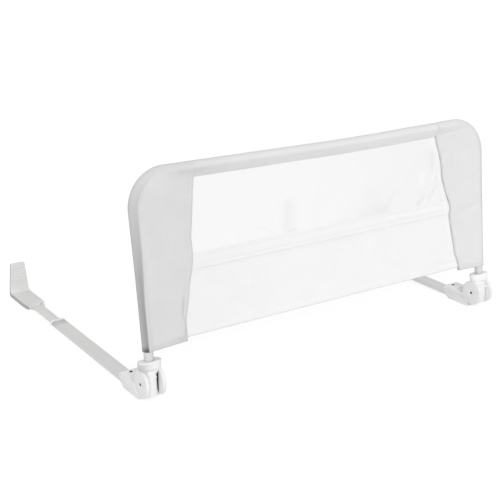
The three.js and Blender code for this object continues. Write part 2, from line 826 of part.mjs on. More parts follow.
const topSleeve = () => {
  const left = sleeveLine(-1, leftBand).at(-1);
  const right = sleeveLine(1, rightBand).at(-1);
  left.x += restGap;
  right.x -= restGap;
  const line = [left, new THREE.Vector3(joinPlace, 0, joinHeight), right];
  const deep = sleeveRadius - overrun / 2;
  const rings = line.map((point) => [
    new THREE.Vector3(point.x, -deep, point.z),
    new THREE.Vector3(point.x, -seamHalf, point.z - topBandDrop + sleeveRadius),
    new THREE.Vector3(point.x, seamHalf, point.z - topBandDrop + sleeveRadius),
    new THREE.Vector3(point.x, deep, point.z),
  ]);
  return alongPanel(line, sleeveRadius)
    .add(loft(rings))
    .subtract(alongPanel(longer(line, overrun), tubeRadius + sleeveGap))
    .subtract(joinerButton(slideGap));
};

const topBandEdge = (x) => {
  const line = x < joinPlace ? frameLine(-1, tubeFoot, joinPlace) : frameLine(1, tubeFoot, joinPlace);
  return cutLine(line, x).at(-1).z - topBandDrop + sleeveRadius;
};

// A stretched piece of cloth between the bands, with shallow slanting folds
const clothPiece = (low, high, thickness, folds) => {
  const grid = [1, -1].map((face) =>
    Array.from({ length: clothRows + 1 }, (_, row) =>
      Array.from({ length: clothColumns + 1 }, (_, column) => {
        const [u, v] = [column / clothColumns, row / clothRows];
        const guess = low + (Math.min(high, bandLow) - low) * v;
        const left = bandEdge(leftBand, -1, guess) + restGap / 2;
        const right = bandEdge(rightBand, 1, guess) - restGap / 2;
        const x = left + (right - left) * u;
        const top = high > bandLow ? topBandEdge(x) - restGap : high;
        const height = low + (top - low) * v;
        const depth = folds(u, v) * Math.sin(Math.PI * u) * Math.sin(Math.PI * v) ** 2;
        return new THREE.Vector3(x, depth - (face * thickness) / 2, height);
      }),
    ),
  );
  const rim = (sheet) => sheet.flat();
  const points = [...rim(grid[0]), ...rim(grid[1])];
  const [columns, size] = [clothColumns + 1, (clothColumns + 1) * (clothRows + 1)];
  const faces = [];
  for (let row = 0; row < clothRows; row++) {
    for (let column = 0; column < clothColumns; column++) {
      const a = row * columns + column;
      const [b, c, d] = [a + 1, a + columns + 1, a + columns];
      faces.push(a, b, c, a, c, d, a + size, c + size, b + size, a + size, d + size, c + size);
    }
  }
  const edge = [];
  for (let k = 0; k < clothColumns; k++) edge.push(k);
  for (let k = 0; k < clothRows; k++) edge.push(k * columns + clothColumns);
  for (let k = clothColumns; k > 0; k--) edge.push(clothRows * columns + k);
  for (let k = clothRows; k > 0; k--) edge.push(k * columns);
  edge.forEach((a, k) => {
    const b = edge[(k + 1) % edge.length];
    faces.push(b, a, a + size, b, a + size, b + size);
  });
  return toSolid(new THREE.BufferGeometry().setFromPoints(points).setIndex(faces));
};

const meshFolds = (u, v) => foldHeight * Math.sin(2 * Math.PI * (3 * u + v / 2));
const lowerFolds = (u) => foldHeight * Math.sin(2 * Math.PI * 5 * u);

const rail = () => {
  const group = new THREE.Group();
  group.add(
    piece("left_frame_tube", frameTube(-1), paintedSteel),
    piece("right_frame_tube", frameTube(1), paintedSteel),
    piece("frame_joiner", joiner(), zincSteel),
    piece("joiner_button", joinerButton(), zincSteel),
    piece("button_leaf", buttonLeaf(), springSteel),
    piece("left_side_sleeve", sideSleeve(-1, leftBand), greyCloth),
    piece("right_side_sleeve", sideSleeve(1, rightBand), greyCloth),
    piece("top_sleeve", topSleeve(), greyCloth),
    piece("mesh_panel", clothPiece(seamBandHigh + restGap, railHeight, clothThickness, meshFolds), whiteMesh),
    piece("seam_band", clothPiece(seamBandLow, seamBandHigh, seamBandThickness, () => 0), whiteCloth),
    piece("lower_panel", clothPiece(clothHem, seamBandLow - restGap, clothThickness, lowerFolds), whiteCloth),
  );
  group.rotation.x = -lean;
  group.position.y = -uprightOffset;
  return group;
};

const guardRail = new THREE.Group();
guardRail.name = "folding_bed_guard_rail";
const left = hingeAndArm("left");
left.position.x = -halfSpacing;
const right = hingeAndArm("right");
right.position.x = halfSpacing;
right.scale.x = -1;
const standing = new THREE.Group();
standing.add(rail(), left, right);
standing.position.set(0, -depthMiddle, floorDrop);
guardRail.add(standing);

export default guardRail;
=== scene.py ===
"""Looks of the folding bed guard rail: its cloth cover, frame, hinges, arms, straps and feet.

Metres, +Z up. X runs along the rail, +Y points to the bed and the origin is the middle of the
floor that the rail stands on. Lengths in the classes are millimetres unless their name says so.
"""

import json
import logging
import math
from collections.abc import Callable, Iterable, Sequence
from dataclasses import dataclass
from enum import Enum
from typing import Any

import bmesh
import bpy
from mathutils import Matrix, Vector, noise

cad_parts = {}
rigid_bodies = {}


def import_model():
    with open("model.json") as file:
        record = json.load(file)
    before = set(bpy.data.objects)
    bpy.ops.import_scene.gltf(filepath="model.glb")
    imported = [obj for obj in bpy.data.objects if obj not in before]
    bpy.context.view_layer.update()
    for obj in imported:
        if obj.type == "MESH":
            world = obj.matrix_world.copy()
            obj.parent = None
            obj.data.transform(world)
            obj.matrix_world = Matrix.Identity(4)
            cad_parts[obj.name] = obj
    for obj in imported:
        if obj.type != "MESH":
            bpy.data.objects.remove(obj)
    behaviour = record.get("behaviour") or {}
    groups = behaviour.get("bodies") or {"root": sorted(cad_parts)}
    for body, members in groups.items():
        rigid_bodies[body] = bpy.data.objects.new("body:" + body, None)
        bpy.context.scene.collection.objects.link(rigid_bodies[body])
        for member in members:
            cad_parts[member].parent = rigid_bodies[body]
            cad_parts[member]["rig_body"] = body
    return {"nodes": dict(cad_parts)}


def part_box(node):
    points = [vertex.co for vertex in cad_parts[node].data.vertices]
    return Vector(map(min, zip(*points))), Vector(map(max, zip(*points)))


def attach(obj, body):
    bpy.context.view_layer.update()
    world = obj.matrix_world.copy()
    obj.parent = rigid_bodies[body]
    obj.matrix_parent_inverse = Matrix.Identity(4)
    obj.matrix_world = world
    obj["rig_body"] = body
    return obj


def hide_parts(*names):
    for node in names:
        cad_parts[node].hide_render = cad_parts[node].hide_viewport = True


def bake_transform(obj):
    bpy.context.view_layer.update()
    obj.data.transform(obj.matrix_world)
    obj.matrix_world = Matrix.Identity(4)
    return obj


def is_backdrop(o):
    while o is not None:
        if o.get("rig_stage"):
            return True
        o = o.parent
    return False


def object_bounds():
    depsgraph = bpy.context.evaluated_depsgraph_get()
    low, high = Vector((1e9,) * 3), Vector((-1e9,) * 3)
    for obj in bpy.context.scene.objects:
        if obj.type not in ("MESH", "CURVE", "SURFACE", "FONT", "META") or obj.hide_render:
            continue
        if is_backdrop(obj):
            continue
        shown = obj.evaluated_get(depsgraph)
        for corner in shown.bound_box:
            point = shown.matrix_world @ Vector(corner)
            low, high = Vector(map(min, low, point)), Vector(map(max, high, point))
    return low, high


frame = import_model()
cad_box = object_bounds()

logging.basicConfig(level=logging.INFO, format="%(name)s: %(message)s")
log = logging.getLogger("guard_rail")

MM = 0.001
# How far to each side of a place a table is averaged, in millimetres
EDGE_ROUNDING = 6.0
# The scale at which a wave texture repeats once in a metre
ONE_WAVE = 0.314

Colour = tuple[float, float, float]
Place = tuple[float, float]


class Side(Enum):
    """The two ends of the rail."""

    LEFT = -1
    RIGHT = 1

    def named(self, part: str) -> str:
        """The name of a CAD node or piece on this side."""
        return f"{self.name.lower()}_{part}"


class Fold(Enum):
    """The cross-section of a crease in cloth."""

    GROOVE = "groove"
    STEP = "step"


def ease(low: float, high: float, value: float) -> float:
    """A smooth share from 0 at low to 1 at high."""
    share = min(max((value - low) / (high - low), 0.0), 1.0)
    return share * share * (3.0 - 2.0 * share)


def wane(low: float, high: float, value: float) -> float:
    """A smooth share from 1 at low to 0 at high."""
    return 1.0 - ease(low, high, value)


def hill(value: float, centre: float, width: float) -> float:
    """A soft hump of height 1 over a centre."""
    return math.exp(-(((value - centre) / width) ** 2))


def crumple(x: float, height: float, size: float, seed: float) -> float:
    """Even unrest of stretched cloth, from about -0.5 to 0.5, with waves of a size in millimetres."""
    return noise.noise(Vector((x / size, height / size, seed)))


def follow(table: Sequence[Place], height: float) -> float:
    """The value that a table gives at a height, a little rounded between its listed points.

    Args:
        table: Pairs of height and value, from the top down.
        height: The height looked up.

    Returns:
        The value.
    """
    found = []
    for level in (height - EDGE_ROUNDING, height, height + EDGE_ROUNDING):
        level = min(max(level, table[-1][0]), table[0][0])
        for (high, upper), (low, lower) in zip(table, table[1:]):
            if level >= low:
                found.append(lower + (upper - lower) * (level - low) / (high - low))
                break
    return sum(found) / len(found)


# Materials


class NodeBoard:
    """The emptied node tree of a material or world, with short calls to add to it."""

    def __init__(self, owner: bpy.types.Material | bpy.types.World) -> None:
        """Empties the owner's node tree.

        Args:
            owner: The material or world.
        """
        owner.use_nodes = True
        self.tree = owner.node_tree
        self.tree.nodes.clear()

    def add(
        self, kind: str, *inputs: Any, settings: dict[str, Any] | None = None, **named: Any
    ) -> bpy.types.Node:
        """Adds a node and feeds its inputs. A socket is linked, and any other value is set.

        Args:
            kind: The node's type, without the ShaderNode that it begins with.
            inputs: The first inputs, in the node's order.
            settings: Properties of the node itself.
            named: Further inputs by name, with _ for a space.

        Returns:
            The node.
        """
        node = self.tree.nodes.new(f"ShaderNode{kind}")
        for name, value in (settings or {}).items():
            setattr(node, name, value)
        pairs = [*zip(node.inputs, inputs)]
        pairs += [(node.inputs[name.replace("_", " ")], value) for name, value in named.items()]
        for target, value in pairs:
            if isinstance(value, bpy.types.NodeSocket):
                self.tree.links.new(value, target)
            else:
                target.default_value = (*value, 1.0) if target.type == "RGBA" else value
        return node

    def maths(self, operation: str, first: Any, second: Any) -> bpy.types.NodeSocket:
        """The result of one arithmetic step on two sockets or numbers."""
        return self.add("Math", first, second, settings={"operation": operation}).outputs[0]

    def weighed(self, *parts: tuple[bpy.types.NodeSocket, float]) -> bpy.types.NodeSocket:
        """The sum of two values, each times its weight."""
        return self.maths("ADD", *(self.maths("MULTIPLY", value, weight) for value, weight in parts))

    def placed(self, source: str, scale: Sequence[float] = (1.0, 1.0, 1.0)) -> bpy.types.NodeSocket:
        """The piece's Object or UV coordinates, stretched along each axis."""
        return self.add("Mapping", self.add("TexCoord").outputs[source], Scale=scale).outputs["Vector"]

    def cloud(
        self, where: bpy.types.NodeSocket, scale: float = 1.0, detail: float = 2.0
    ) -> bpy.types.NodeSocket:
        """Soft noise from 0 to 1, with this many cells a metre and this many finer layers."""
        return self.add("TexNoise", Vector=where, Scale=scale, Detail=detail).outputs[0]

    def wave(
        self, where: bpy.types.NodeSocket, scale: float, way: str, **more: float
    ) -> bpy.types.NodeSocket:
        """Bands from 0 to 1 that follow each other along X, Y or the DIAGONAL."""
        settings = {"bands_direction": way}
        return self.add("TexWave", settings=settings, Vector=where, Scale=scale, **more).outputs["Fac"]

    def ramp(
        self, value: bpy.types.NodeSocket, low: Any, high: Any, span: Place = (0.3, 0.7)
    ) -> bpy.types.NodeSocket:
        """A colour or grey that follows a value.

        Args:
            value: The socket that is followed.
            low: The colour, or number, where the value is low.
            high: The colour, or number, where the value is high.
            span: The two values between which it changes.

        Returns:
            The colour's socket.
        """
        node = self.add("ValToRGB", value)
        for stop, place, colour in zip(node.color_ramp.elements, span, (low, high)):
            stop.position = place
            stop.color = (*colour, 1.0) if isinstance(colour, tuple) else (colour, colour, colour, 1.0)
        return node.outputs["Color"]

    def bump(
        self, height: bpy.types.NodeSocket, depth: float, **under: bpy.types.NodeSocket
    ) -> bpy.types.NodeSocket:
        """The normal of a relief this many millimetres deep, laid over another Normal if one is given."""
        return self.add("Bump", Height=height, Distance=depth * MM, Strength=1.0, **under).outputs["Normal"]

    def shaded(self, colour: bpy.types.NodeSocket) -> bpy.types.NodeSocket:
        """A colour made darker by painted shade: the share that the piece's own shade attribute gives.

        Args:
            colour: The colour's socket.

        Returns:
            The darker colour's socket.
        """
        share = self.add("Attribute", settings={"attribute_name": "shade"}).outputs["Fac"]
        light = self.maths("SUBTRACT", 1.0, share)
        scaled = self.add("VectorMath", settings={"operation": "SCALE"}, Vector=colour, Scale=light)
        return scaled.outputs["Vector"]


@dataclass(frozen=True)
class Finish:
    """What a surface is: a name, the record's material slot, a colour and the material made of them."""

    name: str
    slot: str
    colour: Colour

    def tinted(self, share: float) -> Colour:
        """The colour made lighter or darker by a share."""
        return tuple(min(channel * share, 1.0) for channel in self.colour)

    def inputs(self, board: NodeBoard) -> dict[str, Any]:
        """The Principled shader's inputs by name, with _ for a space."""
        raise NotImplementedError

    def material(self) -> bpy.types.Material:
        """Builds the material.

        Returns:
            The material.
        """
        material = bpy.data.materials.new(self.name)
        board = NodeBoard(material)
        shader = board.add("BsdfPrincipled", **self.inputs(board))
        board.add("OutputMaterial", shader.outputs[0])
        return material


@dataclass(frozen=True)
class WovenCloth(Finish):
    """Plain-woven cloth: crossing threads, faint mottling, a soft crumple and painted shade.

    The thread pitch is in millimetres, and the weave follows the piece's own UV map in metres.
    """

    thread: float = 0.7
    mottle: float = 0.02

    def inputs(self, board: NodeBoard) -> dict[str, Any]:
        """The shader's inputs.

        Args:
            board: The material's node tree.

        Returns:
            The inputs by name.
        """
        flat, body = board.placed("UV"), board.placed("Object")
        pitch = ONE_WAVE / (self.thread * MM)
        threads = [board.wave(flat, pitch, way, Distortion=0.6) for way in ("X", "Y")]
        patches, yarn = board.cloud(body, scale=22.0, detail=3.0), board.cloud(flat, scale=900.0, detail=1.0)
        tone = board.weighed((patches, 0.75), (yarn, 0.25))
        colour = board.ramp(tone, self.tinted(1.0 - self.mottle), self.tinted(1.0 + self.mottle))
        soft = board.bump(board.cloud(body, scale=60.0), depth=0.25)
        return {
            "Base_Color": board.shaded(colour),
            "Roughness": 0.88,
            "Sheen_Weight": 0.05,
            "Sheen_Roughness": 0.5,
            "Specular_IOR_Level": 0.1,
            "Normal": board.bump(board.maths("MULTIPLY", *threads), depth=0.1, Normal=soft),
        }


@dataclass(frozen=True)
class FineMesh(Finish):
    """Thin knitted mesh: rows of tiny loops with a slightly darker eye in each, and painted shade."""

    loop: float = 1.1

    def inputs(self, board: NodeBoard) -> dict[str, Any]:
        """The shader's inputs.

        Args:
            board: The material's node tree.

        Returns:
            The inputs by name.
        """
        loops = 1.0 / (self.loop * MM)
        flat, body = board.placed("UV", (loops, loops, 1.0)), board.placed("Object")
        eyes = board.add("TexVoronoi", Vector=flat, Scale=1.0, Randomness=0.12).outputs["Distance"]
        tone = board.weighed((eyes, 1.0), (board.cloud(body, scale=16.0, detail=3.0), 0.15))
        colour = board.ramp(tone, self.tinted(0.94), self.tinted(1.01), (0.1, 0.35))
        soft = board.bump(board.cloud(body, scale=45.0), depth=0.2)
        return {
            "Base_Color": board.shaded(colour),
            "Roughness": 0.85,
            "Sheen_Weight": 0.04,
            "Specular_IOR_Level": 0.12,
            "Normal": board.bump(eyes, depth=0.12, Normal=soft),
        }


@dataclass(frozen=True)
class Webbing(Finish):
    """Flat woven strap: ribs across, chevrons along and dust in them."""

    rib: float = 1.3

    def inputs(self, board: NodeBoard) -> dict[str, Any]:
        """The shader's inputs.

        Args:
            board: The material's node tree.

        Returns:
            The inputs by name.
        """
        flat = board.placed("UV")
        pitch = ONE_WAVE / (self.rib * MM)
        ribs = board.wave(flat, pitch, "Y", Distortion=1.2, Detail=1.0)
        height = board.weighed((ribs, 1.0), (board.wave(flat, pitch * 0.8, "DIAGONAL"), 0.5))
        dust = board.cloud(board.placed("Object"), scale=90.0, detail=3.0)
        tone = board.weighed((height, 0.4), (dust, 0.4))
        return {
            "Base_Color": board.ramp(tone, self.tinted(0.9), self.tinted(1.05), (0.2, 0.8)),
            "Roughness": 0.85,
            "Sheen_Weight": 0.2,
            "Specular_IOR_Level": 0.25,
            "Normal": board.bump(height, depth=0.25),
        }


@dataclass(frozen=True)
class Thread(Finish):
    """Sewing thread with its twist."""

    twist: float = 700.0

    def inputs(self, board: NodeBoard) -> dict[str, Any]:
        """The shader's inputs.

        Args:
            board: The material's node tree.

        Returns:
            The inputs by name.
        """
        twist = board.wave(board.placed("Object"), self.twist, "DIAGONAL", Distortion=0.5)
        return {
            "Base_Color": board.ramp(twist, self.tinted(0.92), self.colour, (0.1, 0.9)),
            "Roughness": 0.7,
            "Sheen_Weight": 0.2,
            "Normal": board.bump(twist, depth=0.05),
        }


@dataclass(frozen=True)
class MouldedPlastic(Finish):
    """Moulded plastic: fine spark grain, faint flow marks, edges rubbed brighter and painted shade."""

    grain: float = 0.5
    relief: float = 0.02
    roughness: float = 0.48
    flow_stretch: tuple[float, float, float] = (30.0, 12.0, 60.0)

    def inputs(self, board: NodeBoard) -> dict[str, Any]:
        """The shader's inputs.

        Args:
            board: The material's node tree.

        Returns:
            The inputs by name.
        """
        grain = board.cloud(board.placed("Object"), scale=1.0 / (self.grain * MM))
        flow = board.cloud(board.placed("Object", self.flow_stretch), detail=4.0)
        edges = board.ramp(board.add("NewGeometry").outputs["Pointiness"], 0.0, 1.0, (0.5, 0.62))
        tone = board.weighed((flow, 1.0), (edges, 0.3))
        colour = board.ramp(tone, self.tinted(0.97), self.tinted(1.025), (0.3, 0.9))
        return {
            "Base_Color": board.shaded(colour),
            "Roughness": board.ramp(flow, self.roughness - 0.04, self.roughness + 0.07),
            "Specular_IOR_Level": 0.35,
            "Normal": board.bump(grain, self.relief),
        }


@dataclass(frozen=True)
class DrawnMetal(Finish):
    """Drawn metal: long fine lines along Y, warm and cool bands along it painted as reflections, and a satin
    gloss.
    """

    cool: Colour = (0.645, 0.645, 0.655)
    roughness: float = 0.36

    def lines(self, board: NodeBoard, across: float, along: float) -> bpy.types.NodeSocket:
        """Noise stretched into lines, with this many cells a metre across and along the piece."""
        return board.cloud(board.placed("Object", (across, along, across)), detail=3.0)

    def inputs(self, board: NodeBoard) -> dict[str, Any]:
        """The shader's inputs.

        Args:
            board: The material's node tree.

        Returns:
            The inputs by name.
        """
        scratches, painted_reflection_bands = self.lines(board, 1600.0, 14.0), self.lines(board, 110.0, 1.5)
        stains = board.cloud(board.placed("Object"), scale=35.0, detail=4.0)
        # Painted reflections: warm and cool bands along the arm, mixed with stains
        tone = board.weighed((painted_reflection_bands, 0.8), (stains, 0.2))
        return {
            "Base_Color": board.ramp(tone, self.colour, self.cool, (0.35, 0.65)),
            "Metallic": 0.75,
            "Roughness": board.ramp(scratches, self.roughness - 0.05, self.roughness + 0.14),
            "Anisotropic": 0.4,
            "Normal": board.bump(scratches, depth=0.015),
        }


@dataclass(frozen=True)
class PlatedSteel(Finish):
    """Zinc-plated or bare spring steel: faint crystals and small stains."""

    roughness: float = 0.38

    def inputs(self, board: NodeBoard) -> dict[str, Any]:
        """The shader's inputs.

        Args:
            board: The material's node tree.

        Returns:
            The inputs by name.
        """
        where = board.placed("Object")
        crystals = board.add("TexVoronoi", Vector=where, Scale=450.0).outputs["Distance"]
        stains = board.cloud(where, scale=120.0, detail=4.0)
        tone = board.weighed((crystals, 0.4), (stains, 0.6))
        return {
            "Base_Color": board.ramp(tone, self.tinted(0.82), self.tinted(1.06), (0.2, 0.7)),
            "Metallic": 0.9,
            "Roughness": board.ramp(stains, self.roughness - 0.06, self.roughness + 0.12),
            "Normal": board.bump(crystals, depth=0.01),
        }


@dataclass(frozen=True)
class PaintedSteel(Finish):
    """Powder paint on steel: satin gloss with a fine orange peel."""

    peel: float = 380.0

    def inputs(self, board: NodeBoard) -> dict[str, Any]:
        """The shader's inputs.

        Args:
            board: The material's node tree.

        Returns:
            The inputs by name.
        """
        where = board.placed("Object")
        dust = board.cloud(where, scale=40.0, detail=4.0)
        return {
            "Base_Color": board.ramp(dust, self.tinted(0.97), self.tinted(1.02)),
            "Roughness": board.ramp(dust, 0.3, 0.4),
            "Coat_Weight": 0.2,
            "Coat_Roughness": 0.25,
            "Normal": board.bump(board.cloud(where, scale=self.peel, detail=1.0), depth=0.04),
        }


GREY_CLOTH = WovenCloth("grey_cloth", "grey_cloth", (0.792, 0.792, 0.796))
WHITE_CLOTH = WovenCloth("white_cloth", "white_cloth", (0.93, 0.93, 0.935), thread=0.6, mottle=0.012)
WHITE_MESH = FineMesh("white_mesh", "white_mesh", (0.925, 0.925, 0.927))
STRAP_WEBBING = Webbing("strap_webbing", "webbing", (0.83, 0.83, 0.82))
GREY_THREAD = Thread("grey_thread", "grey_cloth", (0.75, 0.75, 0.753))
WHITE_THREAD = Thread("white_thread", "white_cloth", (0.93, 0.93, 0.93))
WHITE_PLASTIC = MouldedPlastic("white_plastic", "white_plastic", (0.88, 0.88, 0.877))
# Painted shadow: near-black faces in the screw and pivot holes and at the back of the gap by the inner ear
PAINTED_SHADOW = MouldedPlastic(
    "dark_plastic", "white_plastic", (0.03, 0.03, 0.032), grain=0.6, roughness=0.7
)
FOOT_PLASTIC = MouldedPlastic(
    "foot_plastic", "grey_plastic", (0.73, 0.73, 0.722), grain=0.8, relief=0.035, roughness=0.5
)
LOCK_PLASTIC = MouldedPlastic("lock_plastic", "grey_plastic", (0.72, 0.72, 0.71), grain=0.6)
ARM_METAL = DrawnMetal("arm_metal", "brushed_steel", (0.655, 0.64, 0.61))
ZINC = PlatedSteel("zinc", "zinc_steel", (0.52, 0.53, 0.55))
SPRING_STEEL = PlatedSteel("spring_steel", "spring_steel", (0.3, 0.31, 0.33), roughness=0.32)
# Screws painted near black, as painted shade of the deep holes they sit in
SCREW_STEEL_PAINTED_SHADE = PlatedSteel("black_steel", "zinc_steel", (0.05, 0.05, 0.055), roughness=0.45)
FRAME_PAINT = PaintedSteel("frame_paint", "painted_steel", (0.97, 0.97, 0.965))


class Workshop:
    """Turns shaped meshes into finished pieces: place, smoothing, finish and body."""

    materials: dict[str, bpy.types.Material] = {}

    @classmethod
    def finish_of(cls, finish: Finish) -> bpy.types.Material:
        """The finish's material, built once.

        Args:
            finish: The finish.

        Returns:
            The material.
        """
        if finish.name not in cls.materials:
            cls.materials[finish.name] = finish.material()
        return cls.materials[finish.name]

    @classmethod
    def piece(
        cls,
        name: str,
        shape: bmesh.types.BMesh,
        finish: Finish,
        body: str,
        stands_for: Iterable[str] = (),
        crisp: float = 35.0,
        second: Finish | None = None,
        slot: str = "",
    ) -> bpy.types.Object:
        """Makes a finished object of a shape that is already in its place.

        Args:
            name: The piece's name.
            shape: The mesh, freed afterwards.
            finish: What its surface is.
            body: The CAD body that it rides on, or nothing for a piece left on no body.
            stands_for: The CAD nodes that it replaces.
            crisp: Edges sharper than this many degrees stay sharp.
            second: The finish of the faces that the shape marks with material index 1.
            slot: The record's material slot, where it isn't the finish's own; not used.

        Returns:
            The object.
        """
        mesh = bpy.data.meshes.new(name)
        shape.to_mesh(mesh)
        shape.free()
        mesh.shade_smooth()
        mesh.set_sharp_from_angle(angle=math.radians(crisp))
        for coat in (finish, second):
            if coat is not None:
                mesh.materials.append(cls.finish_of(coat))
        piece = bpy.data.objects.new(name, mesh)
        bpy.context.scene.collection.objects.link(piece)
        if body:
            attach(piece, body)
        slot or finish.slot
        if stands_for:
            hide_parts(*stands_for)
        log.info("%s: %d faces, on %s", name, len(mesh.polygons), body or "two bodies")
        return piece

    @classmethod
    def stand_in(
        cls, node: str, shape: bmesh.types.BMesh, finish: Finish, ending: str = "finished", **more: Any
    ) -> bpy.types.Object:
        """Makes a finished object of a shape in place of a CAD node, on the node's own body."""
        body = frame["nodes"][node]["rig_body"]
        return cls.piece(f"{node}_{ending}", shape, finish, body, [node], **more)

    @staticmethod
    def copy_of(node: str) -> bmesh.types.BMesh:
        """A CAD node's mesh, merged and with its flat faces whole again.

        Args:
            node: The CAD node.

        Returns:
            The mesh.
        """
        same_place, same_plane = 2e-6, math.radians(0.6)
        shape = bmesh.new()
        shape.from_mesh(frame["nodes"][node].data)
        bmesh.ops.remove_doubles(shape, verts=shape.verts, dist=same_place)
        bmesh.ops.dissolve_limit(shape, angle_limit=same_plane, verts=shape.verts, edges=shape.edges)
        return shape

    @staticmethod
    def bevelled(
        shape: bmesh.types.BMesh, edges: list[bmesh.types.BMEdge], radius: float, segments: int, clamp: bool
    ) -> None:
        """Rounds edges by a radius in millimetres, held back where they meet if clamp is set."""
        bmesh.ops.bevel(
            shape,
            geom=edges,
            offset=radius * MM,
            offset_type="OFFSET",
            segments=segments,
            profile=0.5,
            affect="EDGES",
            clamp_overlap=clamp,
            material=-1,
        )

    @classmethod
    def rounded(cls, shape: bmesh.types.BMesh, radius: float, angle: float = 28.0) -> bmesh.types.BMesh:
        """Rounds the edges that turn by more than an angle.

        Args:
            shape: The mesh.
            radius: How far the rounding reaches, in millimetres.
            angle: The smallest turn that is rounded, in degrees.

        Returns:
            The same mesh.
        """
        limit = math.radians(angle)
        closed = [edge for edge in shape.edges if len(edge.link_faces) == 2]
        turning = [edge for edge in closed if edge.calc_face_angle(0.0) > limit]
        cls.bevelled(shape, turning, radius, segments=2, clamp=True)
        return shape

    @staticmethod
    def toned(
        shape: bmesh.types.BMesh, share: Callable[[bmesh.types.BMVert], float]
    ) -> bmesh.types.BMesh:
        """Writes painted shade: how much darker the finish is at each vertex.

        Args:
            shape: The mesh.
            share: Gives a vertex's share of darkness.

        Returns:
            The same mesh.
        """
        layer = shape.verts.layers.float.new("shade")
        for vertex in shape.verts:
            vertex[layer] = share(vertex)
        return shape

    @staticmethod
    def carved(shape: bmesh.types.BMesh, cutter: bmesh.types.BMesh) -> bmesh.types.BMesh:
        """Cuts one closed shape out of another.

        Args:
            shape: The shape that is cut, freed afterwards.
            cutter: The shape that is taken away, freed afterwards.

        Returns:
            The cut shape.
        """
        pair = []
        for name, solid in (("carved", shape), ("cutter", cutter)):
            mesh = bpy.data.meshes.new(name)
            solid.to_mesh(mesh)
            solid.free()
            pair.append(bpy.data.objects.new(name, mesh))
            bpy.context.scene.collection.objects.link(pair[-1])
        cut = pair[0].modifiers.new("cut", "BOOLEAN")
        cut.operation = "DIFFERENCE"
        cut.object = pair[1]
        evaluated = pair[0].evaluated_get(bpy.context.evaluated_depsgraph_get())
        result = bmesh.new()
        result.from_mesh(evaluated.to_mesh())
        evaluated.to_mesh_clear()
        for item in pair:
            mesh = item.data
            bpy.data.objects.remove(item)
            bpy.data.meshes.remove(mesh)
        return result

    @classmethod
    def refined(cls, node: str, finish: Finish, radius: float, slot: str = "") -> bpy.types.Object:
        """A CAD node's shape in its place, with edges rounded by a radius and its real finish."""
        return cls.stand_in(node, cls.rounded(cls.copy_of(node), radius), finish, slot=slot)

    @classmethod
    def repaint(cls, node: str, finish: Finish) -> None:
        """Gives a carried-over CAD node its real finish.

        Args:
            node: The CAD node.
            finish: What its surface is.
        """
        mesh = frame["nodes"][node].data
        mesh.materials.clear()
        mesh.materials.append(cls.finish_of(finish))
        log.info("%s: CAD solid with %s", node, finish.name)


def turned_out(shape: bmesh.types.BMesh, way: Callable[[Vector], Vector]) -> None:
    """Turns an open sheet over if its faces point inwards.

    Args:
        shape: The sheet.
        way: The outward direction at a point.
    """
    shape.normal_update()
    agree = sum(face.normal.dot(way(face.calc_center_median())) * face.calc_area() for face in shape.faces)
    if agree < 0.0:
        bmesh.ops.reverse_faces(shape, faces=shape.faces)


def thicken(piece: bpy.types.Object, thickness: float) -> None:
    """Gives a sheet its thickness in millimetres, inwards from its outer face.

    Args:
        piece: The sheet.
        thickness: How thick it becomes.
    """
    solid = piece.modifiers.new("cloth thickness", "SOLIDIFY")
    solid.thickness = thickness * MM
    solid.offset = -1.0
    solid.use_even_offset = False


# Cover


@dataclass(frozen=True)
class PanelFrame:
    """The leaning plane of the cover: x along the rail, depth to the bed, height up the lean."""

    lean: float = math.radians(7.2)
    behind: float = -343.5
    rise: float = 40.0

    def place(self, x: float, depth: float, height: float) -> Vector:
        """The point in metres for a place on the panel in millimetres.

        Args:
            x: The place along the rail.
            depth: How far to the bed it is.
            height: How far up the lean it is.

        Returns:
            The point.
        """
        back = depth * math.cos(self.lean) + height * math.sin(self.lean) + self.behind
        up = height * math.cos(self.lean) - depth * math.sin(self.lean) + self.rise
        return Vector((x, back, up)) * MM

    def forward(self) -> Vector:
        """The direction from the panel to someone who looks at its outer face."""
        return Vector((0.0, -math.cos(self.lean), math.sin(self.lean)))


PANEL = PanelFrame()


